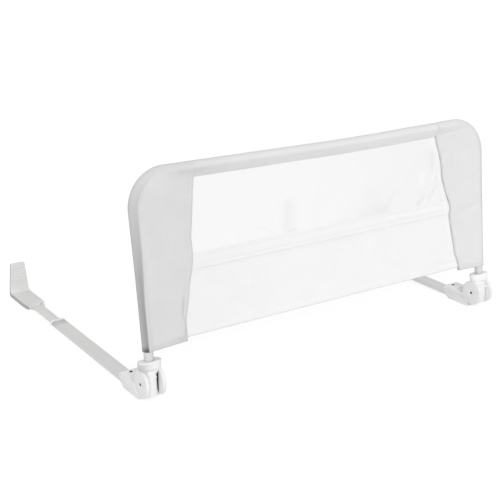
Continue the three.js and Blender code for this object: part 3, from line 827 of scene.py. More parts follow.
@dataclass(frozen=True)
class FrameLine:
    """The centre line of the bent frame tube in the panel's plane, whose halves join with a sag."""

    half: float = 460.0
    corner: float = 70.0
    top: float = 421.0
    join: float = 80.0
    sag: float = 5.0
    join_rise: float = 0.5
    join_width: float = 40.0

    @property
    def straight(self) -> float:
        """The length of upright from the hinge axis's level to the corner."""
        return self.top - self.corner

    def fall(self, side: Side) -> float:
        """The angle by which one half's top rail sinks to the join."""
        return math.atan(self.sag / (self.half - side.value * self.join - self.corner))

    def along(self, side: Side, distance: float) -> tuple[float, float, float, float]:
        """A point of the line and its outward direction.

        Args:
            side: The end of the rail from whose upright the distance is measured.
            distance: The length of tube from the hinge axis's level.

        Returns:
            x and height of the point, then x and height of the direction.
        """
        sign, turn = side.value, math.pi / 2 + self.fall(side)
        if distance <= self.straight:
            return sign * self.half, distance, float(sign), 0.0
        angle = min((distance - self.straight) / self.corner, turn)
        out, up = math.cos(angle), math.sin(angle)
        x = sign * (self.half - self.corner + self.corner * out)
        height = self.straight + self.corner * up
        beyond = distance - self.straight - self.corner * turn
        if beyond > 0.0:
            x -= sign * beyond * up
            height += beyond * out
        return x, height, sign * out, up

    def length_to(self, side: Side, x: float) -> float:
        """The distance along the line at which it passes x on the top rail.

        Args:
            side: The end of the rail from whose upright the distance is measured.
            x: The place along the rail.

        Returns:
            The length of tube from the hinge axis's level.
        """
        turn = math.pi / 2 + self.fall(side)
        end = side.value * (self.half - self.corner + self.corner * math.cos(turn))
        return self.straight + self.corner * turn + abs(end - x) / math.cos(self.fall(side))

    def top_at(self, x: float) -> float:
        """The height of the top rail at x, rounded where the two halves join.

        Args:
            x: The place along the rail.

        Returns:
            The height.
        """
        side = Side.LEFT if x < self.join else Side.RIGHT
        level = self.along(side, self.length_to(side, x))[1]
        return level + self.join_rise * hill(x, self.join, self.join_width)


LINE = FrameLine()


@dataclass(frozen=True)
class Crease:
    """A fold in the cloth along a straight line on the panel.

    A groove is pressed in by its height, or stands proud if that is negative. A step comes forward
    by its height from the line's left, seen from its start, to its right, and levels out again.
    """

    start: Place
    end: Place
    width: float
    height: float
    kind: Fold = Fold.GROOVE
    reach: float = 50.0
    # Painted shade along the fold; a negative tone paints light
    tone: float = 0.0

    def relief(self, x: float, height: float) -> float:
        """How far this fold brings the cloth forward at a place, in millimetres.

        Args:
            x: The place along the rail.
            height: The place up the panel.

        Returns:
            The height of the fold there.
        """
        fade, off = self.place(x, height)
        if self.kind is Fold.GROOVE:
            return -self.height * fade * hill(off, 0.0, self.width)
        return self.height * fade * math.tanh(off / self.width) * math.exp(-abs(off) / self.reach)

    def shade(self, x: float, height: float) -> float:
        """The painted shade that this fold puts on the cloth at a place, as a share; negative is painted
        light.
        """
        fade, off = self.place(x, height)
        return self.tone * fade * hill(off, 0.0, self.width)

    def place(self, x: float, height: float) -> Place:
        """How strong the fold is at a place, and how far the place is from its line.

        Args:
            x: The place along the rail.
            height: The place up the panel.

        Returns:
            The strength from 0 to 1, and the distance in millimetres to the line's left.
        """
        run, climb = self.end[0] - self.start[0], self.end[1] - self.start[1]
        length = math.hypot(run, climb)
        run, climb = run / length, climb / length
        beside, above = x - self.start[0], height - self.start[1]
        share = (beside * run + above * climb) / length
        return ease(-0.15, 0.2, share) * wane(0.8, 1.15, share), above * run - beside * climb


# Where the bands' inner edges are sewn: height up the panel and place along the rail
LEFT_EDGE = (
    (404.0, -324.0), (375.2, -328.1), (345.3, -332.3), (311.2, -336.9), (283.1, -341.2), (258.2, -340.6),
    (229.2, -341.4), (213.2, -345.3), (193.3, -350.7), (173.2, -355.4), (152.8, -358.6), (128.6, -364.2),
    (112.5, -368.5), (95.5, -368.7), (78.2, -367.8), (67.0, -370.0),
)
RIGHT_EDGE = (
    (404.0, 326.5), (377.0, 332.9), (350.2, 340.1), (326.1, 343.6), (302.1, 344.6), (272.2, 352.8),
    (244.1, 363.0), (223.7, 368.4), (212.6, 363.6), (187.6, 366.8), (159.8, 371.4), (131.8, 376.3),
    (116.8, 377.4), (106.2, 381.0), (89.9, 388.1), (67.0, 390.0),
)
# How far the pocket reaches outwards from the tube's line, by the distance along it
SLEEVE_REACH = ((900.0, 13.8), (400.0, 13.8), (330.0, 13.4), (220.0, 11.3), (60.0, 10.9))
# Painted shade: how dark the sleeve's side is along the tube, the thin line on it, and the soft edge on its
# front
SIDE_TONE = (
    (900.0, 0.02), (470.0, 0.02), (420.0, 0.08), (361.0, 0.2), (284.0, 0.3), (207.0, 0.44), (130.0, 0.49),
    (60.0, 0.5),
)
LINE_TONE = (
    (900.0, 0.1), (480.0, 0.08), (361.0, 0.05), (284.0, 0.27), (207.0, 0.5), (130.0, 0.34), (60.0, 0.3),
)
FRONT_TONE = ((900.0, 0.0), (400.0, 0.01), (284.0, 0.03), (130.0, 0.07), (60.0, 0.09))


class ClothSheet:
    """What the cover's pieces share: a grid laid on a surface, its painted shade, thickness and stitches.

    A place on a sheet is across, from -1 to 1, and along, from 0 to 1. The flat size, the area of
    cloth in it and the pattern are in metres. The pattern is the UV map's half width, half height
    and start.
    """

    node: str
    label: str
    columns: int
    rows: int
    flat: Place
    pattern: tuple[float, float, float]
    rests_on: tuple[str, ...]
    finish: Finish
    thread: Finish
    thickness: float = 0.7
    cut: float | None = None
    crisp: float = 60.0

    def surface(self, across: float, along: float) -> Vector:
        """A point of the outer face, in metres."""
        raise NotImplementedError

    def shade(self, across: float, along: float) -> float:
        """The painted shade at a place: how much darker the cloth is, as a share."""
        raise NotImplementedError

    def outward(self, point: Vector) -> Vector:
        """A rough outward direction at a point of the sheet."""
        return PANEL.forward()

    def seams(self) -> Iterable[tuple[str, list[Vector]]]:
        """The lines of stitches, by name, as points in metres."""
        raise NotImplementedError

    def row(self, start: Place, end: Place, steps: int) -> list[Vector]:
        """Points of the surface in equal steps from one place to another."""
        shares = [k / steps for k in range(steps + 1)]
        return [self.surface(*(a + (b - a) * share for a, b in zip(start, end))) for share in shares]

    def build(self) -> None:
        shape = bmesh.new()
        bmesh.ops.create_grid(shape, x_segments=self.columns, y_segments=self.rows, size=1.0)
        layer = shape.loops.layers.uv.new("UVMap")
        wide, tall, start = self.pattern
        for loop in (loop for face in shape.faces for loop in face.loops):
            loop[layer].uv = (loop.vert.co.x * wide, loop.vert.co.y * tall + start)
        # Painted shade at each grid point, kept in the shade attribute
        Workshop.toned(shape, lambda vertex: self.shade(vertex.co.x, (vertex.co.y + 1.0) / 2.0))
        for vertex in shape.verts:
            vertex.co = self.surface(vertex.co.x, (vertex.co.y + 1.0) / 2.0)
        turned_out(shape, self.outward)
        piece = Workshop.stand_in(self.node, shape, self.finish, "cloth", crisp=self.crisp)
        thicken(piece, self.thickness)
        self.flat
        list(self.rests_on)


@dataclass(frozen=True)
class Sleeve(ClothSheet):
    """A grey side band: a pocket sewn round the upright and corner, flat to the white cloth.

    Across runs from the front inner edge round the tube to the back inner edge, and along from the
    hem to the short seam on the top rail. The pocket itself lies between the two places in around.

    The flank is the pocket's side, darkened with painted shade, the end its darker painted shade
    over the hem and the line a thin dark line of painted shade on it. The tone paints shade over the
    whole band and the edge tone along its inner edge, the hem tone darkens its hem, and the corner
    tone paints light on its front near the corner. Angles are degrees round the tube, from -90 at
    the front to 90 at the back, and the arc is the millimetres in one. A pair is where a shade
    begins to change and where it is done.
    """

    side: Side
    edge: tuple[Place, ...]
    seam: float
    lift: float
    tone: float
    edge_tone: float
    creases: tuple[Crease, ...] = ()
    side_tone: float = 1.0
    cut: float = 0.0985
    sewn: bool = True
    seam_pinch: float = 0.8
    low_band: float = 398.5
    hem: float = 68.0
    hem_width: float = 10.0
    half_depth: float = 12.4
    top_depth: float = 13.2
    seam_depth: float = 1.3
    gather: float = 1.35
    fan: float = 1.65
    stitch_inset: float = 8.5
    stitch_depth: float = 0.55
    stitch_width: float = 2.2
    flap_width: float = 4.2
    hem_stand: float = 0.25
    pinch_width: float = 3.5
    arc: float = 0.21
    flank_reach: float = 3.6
    flank_edge: Place = (5.0, 0.8)
    flank_back: Place = (60.0, 84.0)
    flank_fade: float = 0.48
    end_tone: float = 0.3
    end_length: Place = (4.0, 15.0)
    end_angles: Place = (-10.0, 30.0)
    line_angles: Place = (33.0, 14.0)
    line_width: float = 11.0
    edge_width: float = 3.4
    hem_tone: float = 0.06
    front_width: float = 12.0
    corner_tone: float = 0.05
    columns: int = 130
    rows: int = 150
    around: Place = (-0.3, 0.3)
    flat: Place = (0.3, 0.44)
    pattern: tuple[float, float, float] = (0.155, 0.23, 0.0)
    finish: Finish = GREY_CLOTH
    thread: Finish = GREY_THREAD

    @property
    def label(self) -> str:
        """What the names of its stitches begin with."""
        return self.side.name.lower()

    @property
    def node(self) -> str:
        """The CAD node that it replaces."""
        return self.side.named("side_sleeve")

    @property
    def rests_on(self) -> tuple[str, ...]:
        """The CAD node that it lies on."""
        return (self.side.named("frame_tube"),)

    def length(self) -> float:
        """The distance along the frame's line at the short seam on the top rail."""
        return LINE.length_to(self.side, self.seam)

    def distance(self, along: float) -> float:
        """The distance along the frame's line at a place on the band."""
        return self.hem + (self.length() - self.hem) * along

    def spread(self, across: float, along: float) -> tuple[float, float, float, float, float]:
        """Where a place on the band's flat front or back lies in the panel's plane.

        Args:
            across: From -1, the front inner edge, or 1, the back inner edge, to the tube.
            along: From 0 at the hem to 1 at the short seam on the top rail.

        Returns:
            Its x and height, how far it is from the inner edge, its share of the way from there to
            the tube, and the height of the inner edge beside it.
        """
        back_inset = 1.5
        x, height, _, _ = LINE.along(self.side, self.distance(along))
        low, high = self.around
        share = (across + 1.0) / (low + 1.0) if across < 0.0 else (1.0 - across) / (1.0 - high)
        share **= self.gather
        inner = self.hem + (self.low_band - self.hem) * (1.0 - (1.0 - along) ** self.fan)
        inner_x = follow(self.edge, inner) + (self.side.value * back_inset if across > 0.0 else 0.0)
        off = math.hypot(x - inner_x, height - inner) * share
        return inner_x + (x - inner_x) * share, inner + (height - inner) * share, off, share, inner

    def flank(self, reach: float, off: float) -> float:
        """The share of the side's darkness this far before the tube, where the side has this reach."""
        return wane(reach - self.flank_edge[0], reach - self.flank_edge[1], off)

    def pocket_shade(self, angle: float, distance: float, dark: float, reach: float) -> float:
        """The pocket's painted shade over the band's: its side, the end of its hem and a thin dark line.

        Args:
            angle: Degrees round the tube, from -90 at the front to 90 at the back.
            distance: The distance along the frame's line.
            dark: How dark the side is there.
            reach: How far the dark side reaches on to the front, in millimetres.

        Returns:
            The share of darkness.
        """
        flank = self.flank(reach, -(angle + 90.0) * self.arc) * wane(*self.flank_back, angle)
        side = dark * (1.0 - self.flank_fade * ease(-60.0, 0.0, angle))
        end = self.end_tone * wane(*self.end_length, distance - self.hem) * wane(*self.end_angles, angle)
        low, high = self.line_angles
        line_at = low + (high - low) * ease(330.0, 480.0, distance)
        line = follow(LINE_TONE, distance) * hill(angle, line_at, self.line_width)
        return flank * (side + end * self.side_tone) + line * self.side_tone

    def shade(self, across: float, along: float) -> float:
        """The painted shade at a place, and painted light near the corner: its side, inner edge and creases,
        and a darker hem.

        Args:
            across: From -1, the front inner edge, round the tube to 1, the back inner edge.
            along: From 0 at the hem to 1 at the short seam on the top rail.

        Returns:
            The share of darkness.
        """
        distance = self.distance(along)
        low, high = self.around
        dark = follow(SIDE_TONE, distance) * self.side_tone
        reach = self.flank_reach * ease(150.0, 284.0, distance) * wane(400.0, 440.0, distance)
        if low < across < high:
            angle = (across - low) / (high - low) * 180.0 - 90.0
            return self.tone + self.pocket_shade(angle, distance, dark, reach)
        x, height, off, share, _ = self.spread(across, along)
        # Painted shade over the band and under its lifted inner edge
        tone = self.tone + self.edge_tone * hill(off, 1.0, self.edge_width)
        tone += self.hem_tone * wane(self.hem_width - 1.0, self.hem_width + 4.0, distance - self.hem)
        if across < 0.0:
            from_side = off / max(share, 0.05) * (1.0 - share)
            # Painted light on the front near the corner, painted shade on its soft front edge and flank
            corner = ease(370.0, 420.0, distance) * wane(490.0, 560.0, distance) * share
            soft = follow(FRONT_TONE, distance) * wane(0.0, self.front_width, from_side)
            soft -= self.corner_tone * corner
            tone += dark * self.flank(reach, from_side) + soft * self.side_tone
            tone += sum(crease.shade(x, height) for crease in self.creases)
        return tone

    def surface(self, across: float, along: float) -> Vector:
        """A point of the band's outer face.

        Args:
            across: From -1, the front inner edge, round the tube to 1, the back inner edge.
            along: From 0 at the hem to 1 at the short seam on the top rail.

        Returns:
            The point in metres.
        """
        distance, to_seam = self.distance(along), self.length() - self.distance(along)
        x, height, out_x, out_up = LINE.along(self.side, distance)
        depth = self.half_depth + (self.top_depth - self.half_depth) * ease(320.0, 440.0, distance)
        calm = 1.0 if self.sewn else ease(6.0, 40.0, to_seam)
        stand = self.hem_stand * wane(self.hem_width - 1.0, self.hem_width + 1.0, distance - self.hem)
        stand -= self.seam_pinch * hill(to_seam, 0.0, self.pinch_width)
        low, high = self.around
        if low < across < high:
            angle = (across - low) / (high - low) * math.pi - math.pi / 2
            power = 2.0 / (2.15 + 0.05 * (1.0 - calm))
            wave = 0.3 * crumple(x * 2.0, height, 55.0, 3.0) * calm * math.cos(angle)
            grow = 1.0 + stand / depth
            out = (follow(SLEEVE_REACH, distance) * abs(math.cos(angle)) ** power + wave) * grow
            back = math.copysign(depth * abs(math.sin(angle)) ** power, angle) * grow
            return PANEL.place(x + out_x * out, back, height + out_up * out)
        front = across <= low
        x, height, off, share, inner = self.spread(across, along)
        relief = self.seam_depth + (depth - self.seam_depth) * share ** (0.85 + 0.15 * calm) + stand
        flap = self.lift * (0.75 + 0.9 * crumple(inner, 0.0, 26.0, 7.0 if front else 9.0))
        relief += flap * hill(off, 0.0, self.flap_width)
        relief -= self.stitch_depth * hill(off, self.stitch_inset, self.stitch_width)
        loose = ease(0.0, 0.12, share) * wane(0.9, 1.0, share) * calm
        relief += loose * (crumple(x, height, 70.0, 1.0) + 0.3 * crumple(x * 1.6, height, 22.0, 2.0))
        if front:
            relief += sum(crease.relief(x, height) for crease in self.creases)
        return PANEL.place(x, -relief if front else relief, height)

    def outward(self, point: Vector) -> Vector:
        """A rough outward direction for a point of the band."""
        beside = PANEL.place(self.side.value * LINE.half, 0.0, point.z / MM - PANEL.rise)
        return point - beside + Vector((0.0, 0.0, 0.001))

    def seams(self) -> Iterable[tuple[str, list[Vector]]]:
        """The lines of stitches on the band, by name, as points in metres.

        Yields:
            A name and its line.
        """
        steps, hem_end, narrowest = 90, 0.97, 20.0
        low, high = self.around
        for name, face, tube in (("front", -1.0, low), ("back", 1.0, high)):
            line = []
            for k in range(steps + 1):
                along = 0.004 + 0.98 * k / steps
                width = (self.surface(tube, along) - self.surface(face, along)).length
                share = (self.stitch_inset * MM / max(width, narrowest * MM)) ** (1.0 / self.gather)
                line.append(self.surface(face + (tube - face) * share, along))
            yield f"{name}_edge", line
        whole = self.length() - self.hem
        hem = (self.hem_width - 2.0) / whole
        yield "hem", self.row((-hem_end, hem), (hem_end, hem), steps)
        if self.sewn:
            top = 1.0 - 4.0 / whole
            yield "seam", self.row((-hem_end, top), (hem_end, top), steps)


@dataclass(frozen=True)
class TopSleeve(ClothSheet):
    """The grey band along the top rail: a round pocket over the tube, sewn to the white cloth.

    Across runs from the front lower edge over the tube to the back lower edge, and along from the
    left seam to the right one. The unrests are how far the cloth's waves reach on the pocket, at
    the lower edge and on the faces. The tones are painted shade, and painted light where negative.
    """

    left_seam: float = -324.3
    right_seam: float = 331.7
    drop: float = 18.6
    reach: float = 13.8
    half_depth: float = 13.2
    seam_depth: float = 1.3
    seam_pinch: float = 0.9
    pinch_width: float = 4.5
    roundness: float = 2.2
    pocket_unrest: float = 0.5
    edge_unrest: float = 0.8
    face_unrest: float = 1.1
    outline_tone: float = 0.08
    outline_at: float = 0.055
    face_tone: float = -0.05
    edge_tone: float = -0.12
    smudge_tone: float = 0.07
    left_tone: float = 0.045
    columns: int = 44
    rows: int = 220
    around: Place = (-0.35, 0.35)
    stitches_at: float = 0.84
    node: str = "top_sleeve"
    label: str = "top"
    flat: Place = (0.089, 0.656)
    pattern: tuple[float, float, float] = (0.046, 0.328, 0.0)
    finish: Finish = GREY_CLOTH
    thread: Finish = GREY_THREAD
    rests_on: tuple[str, ...] = ("left_frame_tube", "right_frame_tube")

    def surface(self, across: float, along: float) -> Vector:
        """A point of the band's outer face.

        Args:
            across: From -1, the front lower edge, over the tube to 1, the back lower edge.
            along: From 0 at the left seam to 1 at the right one.

        Returns:
            The point in metres.
        """
        x = self.left_seam + (self.right_seam - self.left_seam) * along
        level = LINE.top_at(x)
        pinch = self.seam_pinch * hill(x, self.right_seam, self.pinch_width)
        calm = ease(0.0, 30.0, x - self.left_seam)
        low, high = self.around
        if low < across < high:
            angle = (across - low) / (high - low) * math.pi - math.pi / 2
            power = 2.0 / self.roundness
            wave = self.pocket_unrest * crumple(x, 0.0, 45.0, 11.0) * calm
            up = (self.reach + wave - pinch) * abs(math.cos(angle)) ** power
            back = math.copysign((self.half_depth - pinch) * abs(math.sin(angle)) ** power, angle)
            return PANEL.place(x, back, level + up)
        front = across <= low
        share = (across + 1.0) / (low + 1.0) if front else (1.0 - across) / (1.0 - high)
        edge = level - self.drop - self.edge_unrest * crumple(x, 0.0, 60.0, 12.0)
        relief = self.seam_depth + (self.half_depth - pinch - self.seam_depth) * share**0.85
        wave = crumple(x, share * 30.0, 38.0, 5.0 if front else 6.0)
        relief += self.face_unrest * calm * math.sin(math.pi * share) * wave
        return PANEL.place(x, -relief if front else relief, edge + (level - edge) * share)

    def shade(self, across: float, along: float) -> float:
        """The painted shade at a place: on its outline, a smudge and its left end, and painted light on its
        lower half and lower edge.

        Args:
            across: From -1, the front lower edge, over the tube to 1, the back lower edge.
            along: From 0 at the left seam to 1 at the right one.

        Returns:
            The share of darkness.
        """
        shade = self.outline_tone * hill(across, self.outline_at, self.outline_at)
        shade += self.face_tone * wane(-0.5, -0.1, across) * (0.5 + ease(0.4, 0.75, along))
        shade += self.edge_tone * wane(-1.0, -0.86, across)
        shade += self.smudge_tone * hill(across, -0.55, 0.22) * wane(0.01, 0.06, along)
        return shade + self.left_tone * wane(0.0, 0.3, along)

    def outward(self, point: Vector) -> Vector:
        """A rough outward direction for a point of the band."""
        return point - PANEL.place(point.x / MM, 0.0, LINE.top - 10.0)

    def seams(self) -> Iterable[tuple[str, list[Vector]]]:
        """The lines of stitches on the band, by name, as points in metres."""
        for name, across in (("front_edge", -self.stitches_at), ("back_edge", self.stitches_at)):
            yield name, self.row((across, 0.003), (across, 0.997), self.rows)


# A crease's tone is painted shade along it, and painted light where it is negative
PANEL_CREASES = (
    # Soft hollow left of the middle with the hooked crease at its foot
    Crease((-94.0, 318.0), (-97.5, 254.0), 18.0, 1.2, tone=0.055),
    Crease((-114.0, 262.0), (-100.0, 249.0), 4.0, 0.8, tone=0.03),
    Crease((-101.0, 250.0), (-76.0, 252.5), 3.0, 1.2, tone=0.07),
    Crease((-186.0, 275.0), (-122.0, 246.0), 3.5, 1.0, tone=0.025),
    Crease((-250.0, 300.0), (-238.0, 252.0), 12.0, 0.8, Fold.STEP, 30.0),
    Crease((-60.0, 330.0), (-52.0, 255.0), 16.0, 1.0, Fold.STEP, 40.0),
    # Slack gathered towards the right band
    Crease((317.0, 372.0), (316.0, 318.0), 5.0, 1.6, Fold.STEP, 24.0, tone=0.09),
    Crease((330.0, 330.0), (318.0, 292.0), 5.0, -1.4),
    Crease((292.0, 322.0), (284.0, 290.0), 11.0, -1.6, tone=-0.025),
    Crease((293.0, 266.0), (268.0, 246.0), 6.0, 2.0, tone=0.05),
    Crease((330.0, 282.0), (300.0, 250.0), 5.0, 1.4, tone=0.02),
    Crease((118.0, 310.0), (160.0, 250.0), 24.0, 2.0, Fold.STEP, 60.0, tone=0.025),
    Crease((205.0, 290.0), (170.0, 248.0), 7.0, 1.1, tone=0.01),
    Crease((90.0, 258.0), (190.0, 250.0), 9.0, 1.3, tone=0.03),
    Crease((20.0, 300.0), (24.0, 250.0), 18.0, 0.9, Fold.STEP, 40.0),
)
LOWER_CREASES = (
    Crease((-204.0, 206.0), (-212.0, 112.0), 7.0, 0.9, Fold.STEP, 20.0, tone=0.015),
    Crease((-172.0, 200.0), (-180.0, 108.0), 7.0, 1.0, Fold.STEP, 20.0, tone=0.015),
    Crease((-262.0, 200.0), (-240.0, 120.0), 22.0, 1.2, Fold.STEP, 50.0, tone=0.01),
    Crease((330.0, 96.0), (380.0, 84.0), 6.0, 1.0),
    Crease((60.0, 190.0), (40.0, 100.0), 40.0, 1.0, Fold.STEP, 70.0),
)
BAND_CREASES = (
    Crease((-360.0, 221.5), (330.0, 221.5), 3.5, 0.5, tone=0.022),
    Crease((-360.0, 239.0), (380.0, 239.0), 3.5, 0.4, tone=0.018),
    Crease((150.0, 231.0), (350.0, 229.0), 4.0, -0.5, tone=-0.01),
)


@dataclass(frozen=True)
class PanelStrip(ClothSheet):
    """One piece of the white cloth, stretched between the grey bands and tucked under them.

    Across runs from the left end to the right one, and along from the low edge to the high one. The
    curl is the rolled edge beside the right band. The tones are painted shade, and the curl's tone is
    painted light.
    """

    node: str
    low: float
    high: float
    finish: Finish
    creases: tuple[Crease, ...]
    rows: int
    wide: float = 0.752
    columns: int = 260
    tuck: float = 9.0
    stand: float = 0.4
    thickness: float = 0.6
    lap: float = 0.0
    hem: float = 0.0
    unrest: float = 1.2
    hem_stand: float = 0.5
    curl_height: float = 1.7
    curl_at: float = 4.5
    curl_width: float = 2.6
    curl_tone: float = -0.05
    right_tone: float = 0.035
    left_tone: float = 0.02
    top_tone: float = 0.03
    seams_at: tuple[float, ...] = ()
    thread: Finish = WHITE_THREAD
    rests_on: tuple[str, ...] = ("left_side_sleeve_cloth", "right_side_sleeve_cloth")

    @property
    def label(self) -> str:
        """What the names of its stitches begin with."""
        return self.node

    @property
    def flat(self) -> Place:
        """The flat size in metres."""
        return self.wide, (self.high - self.low) * MM

    @property
    def pattern(self) -> tuple[float, float, float]:
        """The UV map's half width, half height and start, in metres."""
        return 0.37, (self.high - self.low) * MM / 2.0, self.low * MM

    def spot(self, across: float, along: float) -> Place:
        """The place along the rail and up the panel, in millimetres, before the top rail's sag.

        Args:
            across: From -1 at the left end to 1 at the right one.
            along: From 0 at the low edge to 1 at the high one.

        Returns:
            x and height.
        """
        height = self.low + (self.high - self.low) * along
        left, right = follow(LEFT_EDGE, height) - self.tuck, follow(RIGHT_EDGE, height) + self.tuck
        return left + (right - left) * (across + 1.0) / 2.0, height

    def relief(self, x: float, height: float) -> float:
        """How far the cloth stands forward of the panel's plane.

        Args:
            x: The place along the rail.
            height: The place up the panel.

        Returns:
            The height of the cloth there, in millimetres.
        """
        to_left, to_right = x - follow(LEFT_EDGE, height), follow(RIGHT_EDGE, height) - x
        inside = min(to_left, to_right)
        share = min(max((height - self.low) / (self.high - self.low), 0.0), 1.0)
        loose = math.sin(math.pi * share) ** 0.5 * ease(0.0, 60.0, inside) * self.unrest
        relief = self.stand + sum(crease.relief(x, height) for crease in self.creases)
        relief += loose * (crumple(x, height * 0.6, 110.0, 21.0) + 0.35 * crumple(x, height, 38.0, 22.0))
        if self.lap:
            relief += self.lap * (1.0 - share) ** 0.8 * ease(0.0, 1.6, height - self.low)
            relief += 0.3 * crumple(x, height, 18.0, 23.0)
            relief = self.stand + (relief - self.stand) * ease(6.0, 24.0, inside)
        if self.hem:
            relief += self.hem_stand * wane(self.hem - 1.0, self.hem + 0.6, height - self.low)
        curl = self.curl_height * hill(to_right, self.curl_at, self.curl_width)
        return relief + curl * ease(110.0, 220.0, height)

    def shade(self, across: float, along: float) -> float:
        """The painted shade at a place, with painted light on its rolled edge by the right band.

        Args:
            across: From -1 at the left end to 1 at the right one.
            along: From 0 at the low edge to 1 at the high one.

        Returns:
            The share of darkness.
        """
        x, height = self.spot(across, along)
        # Painted shade: the cloth strips darker to the left, the mesh darker to the right
        shade = self.left_tone * wane(-330.0, -80.0, x)
        if self.finish is WHITE_MESH:
            shade = self.right_tone * ease(-100.0, 330.0, x)
        shade += sum(crease.shade(x, height) for crease in self.creases)
        # Painted shadow on the lower strip just under the seam band's edge
        if self.hem:
            shade += self.top_tone * ease(203.0, 212.0, height)
        return shade + self.curl_tone * hill(follow(RIGHT_EDGE, height) - x, 2.0, 2.2)

    def surface(self, across: float, along: float) -> Vector:
        """A point of the outer face. The mesh's top edge follows the sag of the top rail.

        Args:
            across: From -1 at the left end to 1 at the right one.
            along: From 0 at the low edge to 1 at the high one.

        Returns:
            The point in metres.
        """
        x, height = self.spot(across, along)
        if self.finish is WHITE_MESH:
            height -= (LINE.top - LINE.top_at(x)) * along
        return PANEL.place(x, -self.relief(x, height), height)

    def seams(self) -> Iterable[tuple[str, list[Vector]]]:
        """The lines of stitches across the strip, by name, as points in metres.

        Yields:
            A name and its line.
        """
        for k, height in enumerate(self.seams_at):
            share = (height - self.low) / (self.high - self.low)
            yield f"row_{k + 1}", self.row((-0.968, share), (0.968, share), 240)


@dataclass(frozen=True)
class StitchLine:
    """A row of short thread stitches that lie on cloth."""

    pitch: float = 4.2
    length: float = 3.0
    width: float = 0.55
    height: float = 0.4
    stand: float = 0.08

    def build(self, name: str, line: Sequence[Vector], outward: Vector, thread: Finish) -> None:
        """Sews along a line of points.

        Args:
            name: The piece's name.
            line: Points in metres, close together.
            outward: The direction away from the cloth, or nothing where it is away from the
                line's middle.
            thread: The thread.
        """
        shape = bmesh.new()
        travelled, due = 0.0, self.pitch * MM / 2.0
        middle = sum(line, Vector()) / len(line)
        size = Matrix.Diagonal((self.length * MM, self.width * MM, self.height * MM, 1.0))
        for start, end in zip(line, line[1:]):
            step = (end - start).length
            while step > 0.0 and due <= travelled + step:
                place = start.lerp(end, (due - travelled) / step)
                along = (end - start).normalized()
                away = outward if outward.length > 0.0 else place - middle
                away = (away - along * away.dot(along)).normalized()
                turn = Matrix((along, along.cross(away), away)).transposed().to_4x4()
                spot = Matrix.Translation(place + away * self.stand * MM) @ turn @ size
                bmesh.ops.create_uvsphere(shape, u_segments=6, v_segments=4, radius=0.5, matrix=spot)
                due += self.pitch * MM
            travelled += step
        Workshop.piece(name, shape, thread, "rail", crisp=80.0)


# Tones are painted shade over the band, its inner edge and side; a negative tone is painted light
LEFT_SLEEVE = Sleeve(
    side=Side.LEFT,
    edge=LEFT_EDGE,
    seam=-320.0,
    lift=0.7,
    tone=0.06,
    edge_tone=0.09,
    creases=(
        Crease((-366.0, 415.5), (-322.0, 413.0), 4.5, 0.3, tone=0.07),
        # Doubled, curled inner edge near the hem
        Crease((-370.0, 162.0), (-376.6, 122.0), 2.4, 0.5, tone=0.17),
        Crease((-376.0, 122.0), (-369.5, 103.0), 2.0, 0.4, tone=0.12),
        Crease((-369.5, 103.0), (-375.0, 76.0), 2.2, 0.5, tone=0.15),
        Crease((-394.0, 79.0), (-376.0, 73.0), 2.4, 0.3, tone=0.1),
    ),
    sewn=False,
    seam_pinch=0.6,
    low_band=400.0,
)
RIGHT_SLEEVE = Sleeve(
    side=Side.RIGHT,
    edge=RIGHT_EDGE,
    seam=332.0,
    lift=1.6,
    tone=-0.01,
    edge_tone=0.21,
    creases=(
        Crease((384.0, 206.0), (455.0, 226.0), 7.0, 1.3),
        Crease((343.0, 405.5), (420.0, 411.5), 4.0, 0.9),
        Crease((350.0, 401.0), (392.0, 404.0), 3.0, -0.5),
    ),
    side_tone=0.35,
    cut=0.0895,
)
LOWER_PANEL = PanelStrip(
    "lower_panel", 75.6, 218.0, WHITE_CLOTH, LOWER_CREASES, 48, hem=11.0, thickness=0.45, seams_at=(84.8,)
)
MESH_PANEL = PanelStrip("mesh_panel", 238.0, 404.0, WHITE_MESH, PANEL_CREASES, 60, wide=0.695)
SEAM_BAND = PanelStrip(
    "seam_band",
    213.0,
    247.0,
    WHITE_CLOTH,
    BAND_CREASES,
    34,
    stand=0.9,
    lap=0.15,
    unrest=0.2,
    thickness=0.25,
    seams_at=(216.5, 242.5),
)


@dataclass(frozen=True)
class Cover:
    """The removable cloth cover: two side bands, the top band and the white panel in three strips."""

    sheets: tuple[ClothSheet, ...] = (
        LEFT_SLEEVE, RIGHT_SLEEVE, TopSleeve(), LOWER_PANEL, MESH_PANEL, SEAM_BAND,
    )
    stitch: StitchLine = StitchLine()

    def build(self) -> None:
        """Makes the six cloth pieces and sews their seams."""
        ways = {"back_edge": -PANEL.forward(), "hem": Vector(), "seam": Vector()}
        for sheet in self.sheets:
            sheet.build()
            for name, line in sheet.seams():
                outward = ways.get(name, PANEL.forward())
                self.stitch.build(f"{sheet.label}_{name}_stitches", line, outward, sheet.thread)


# Frame


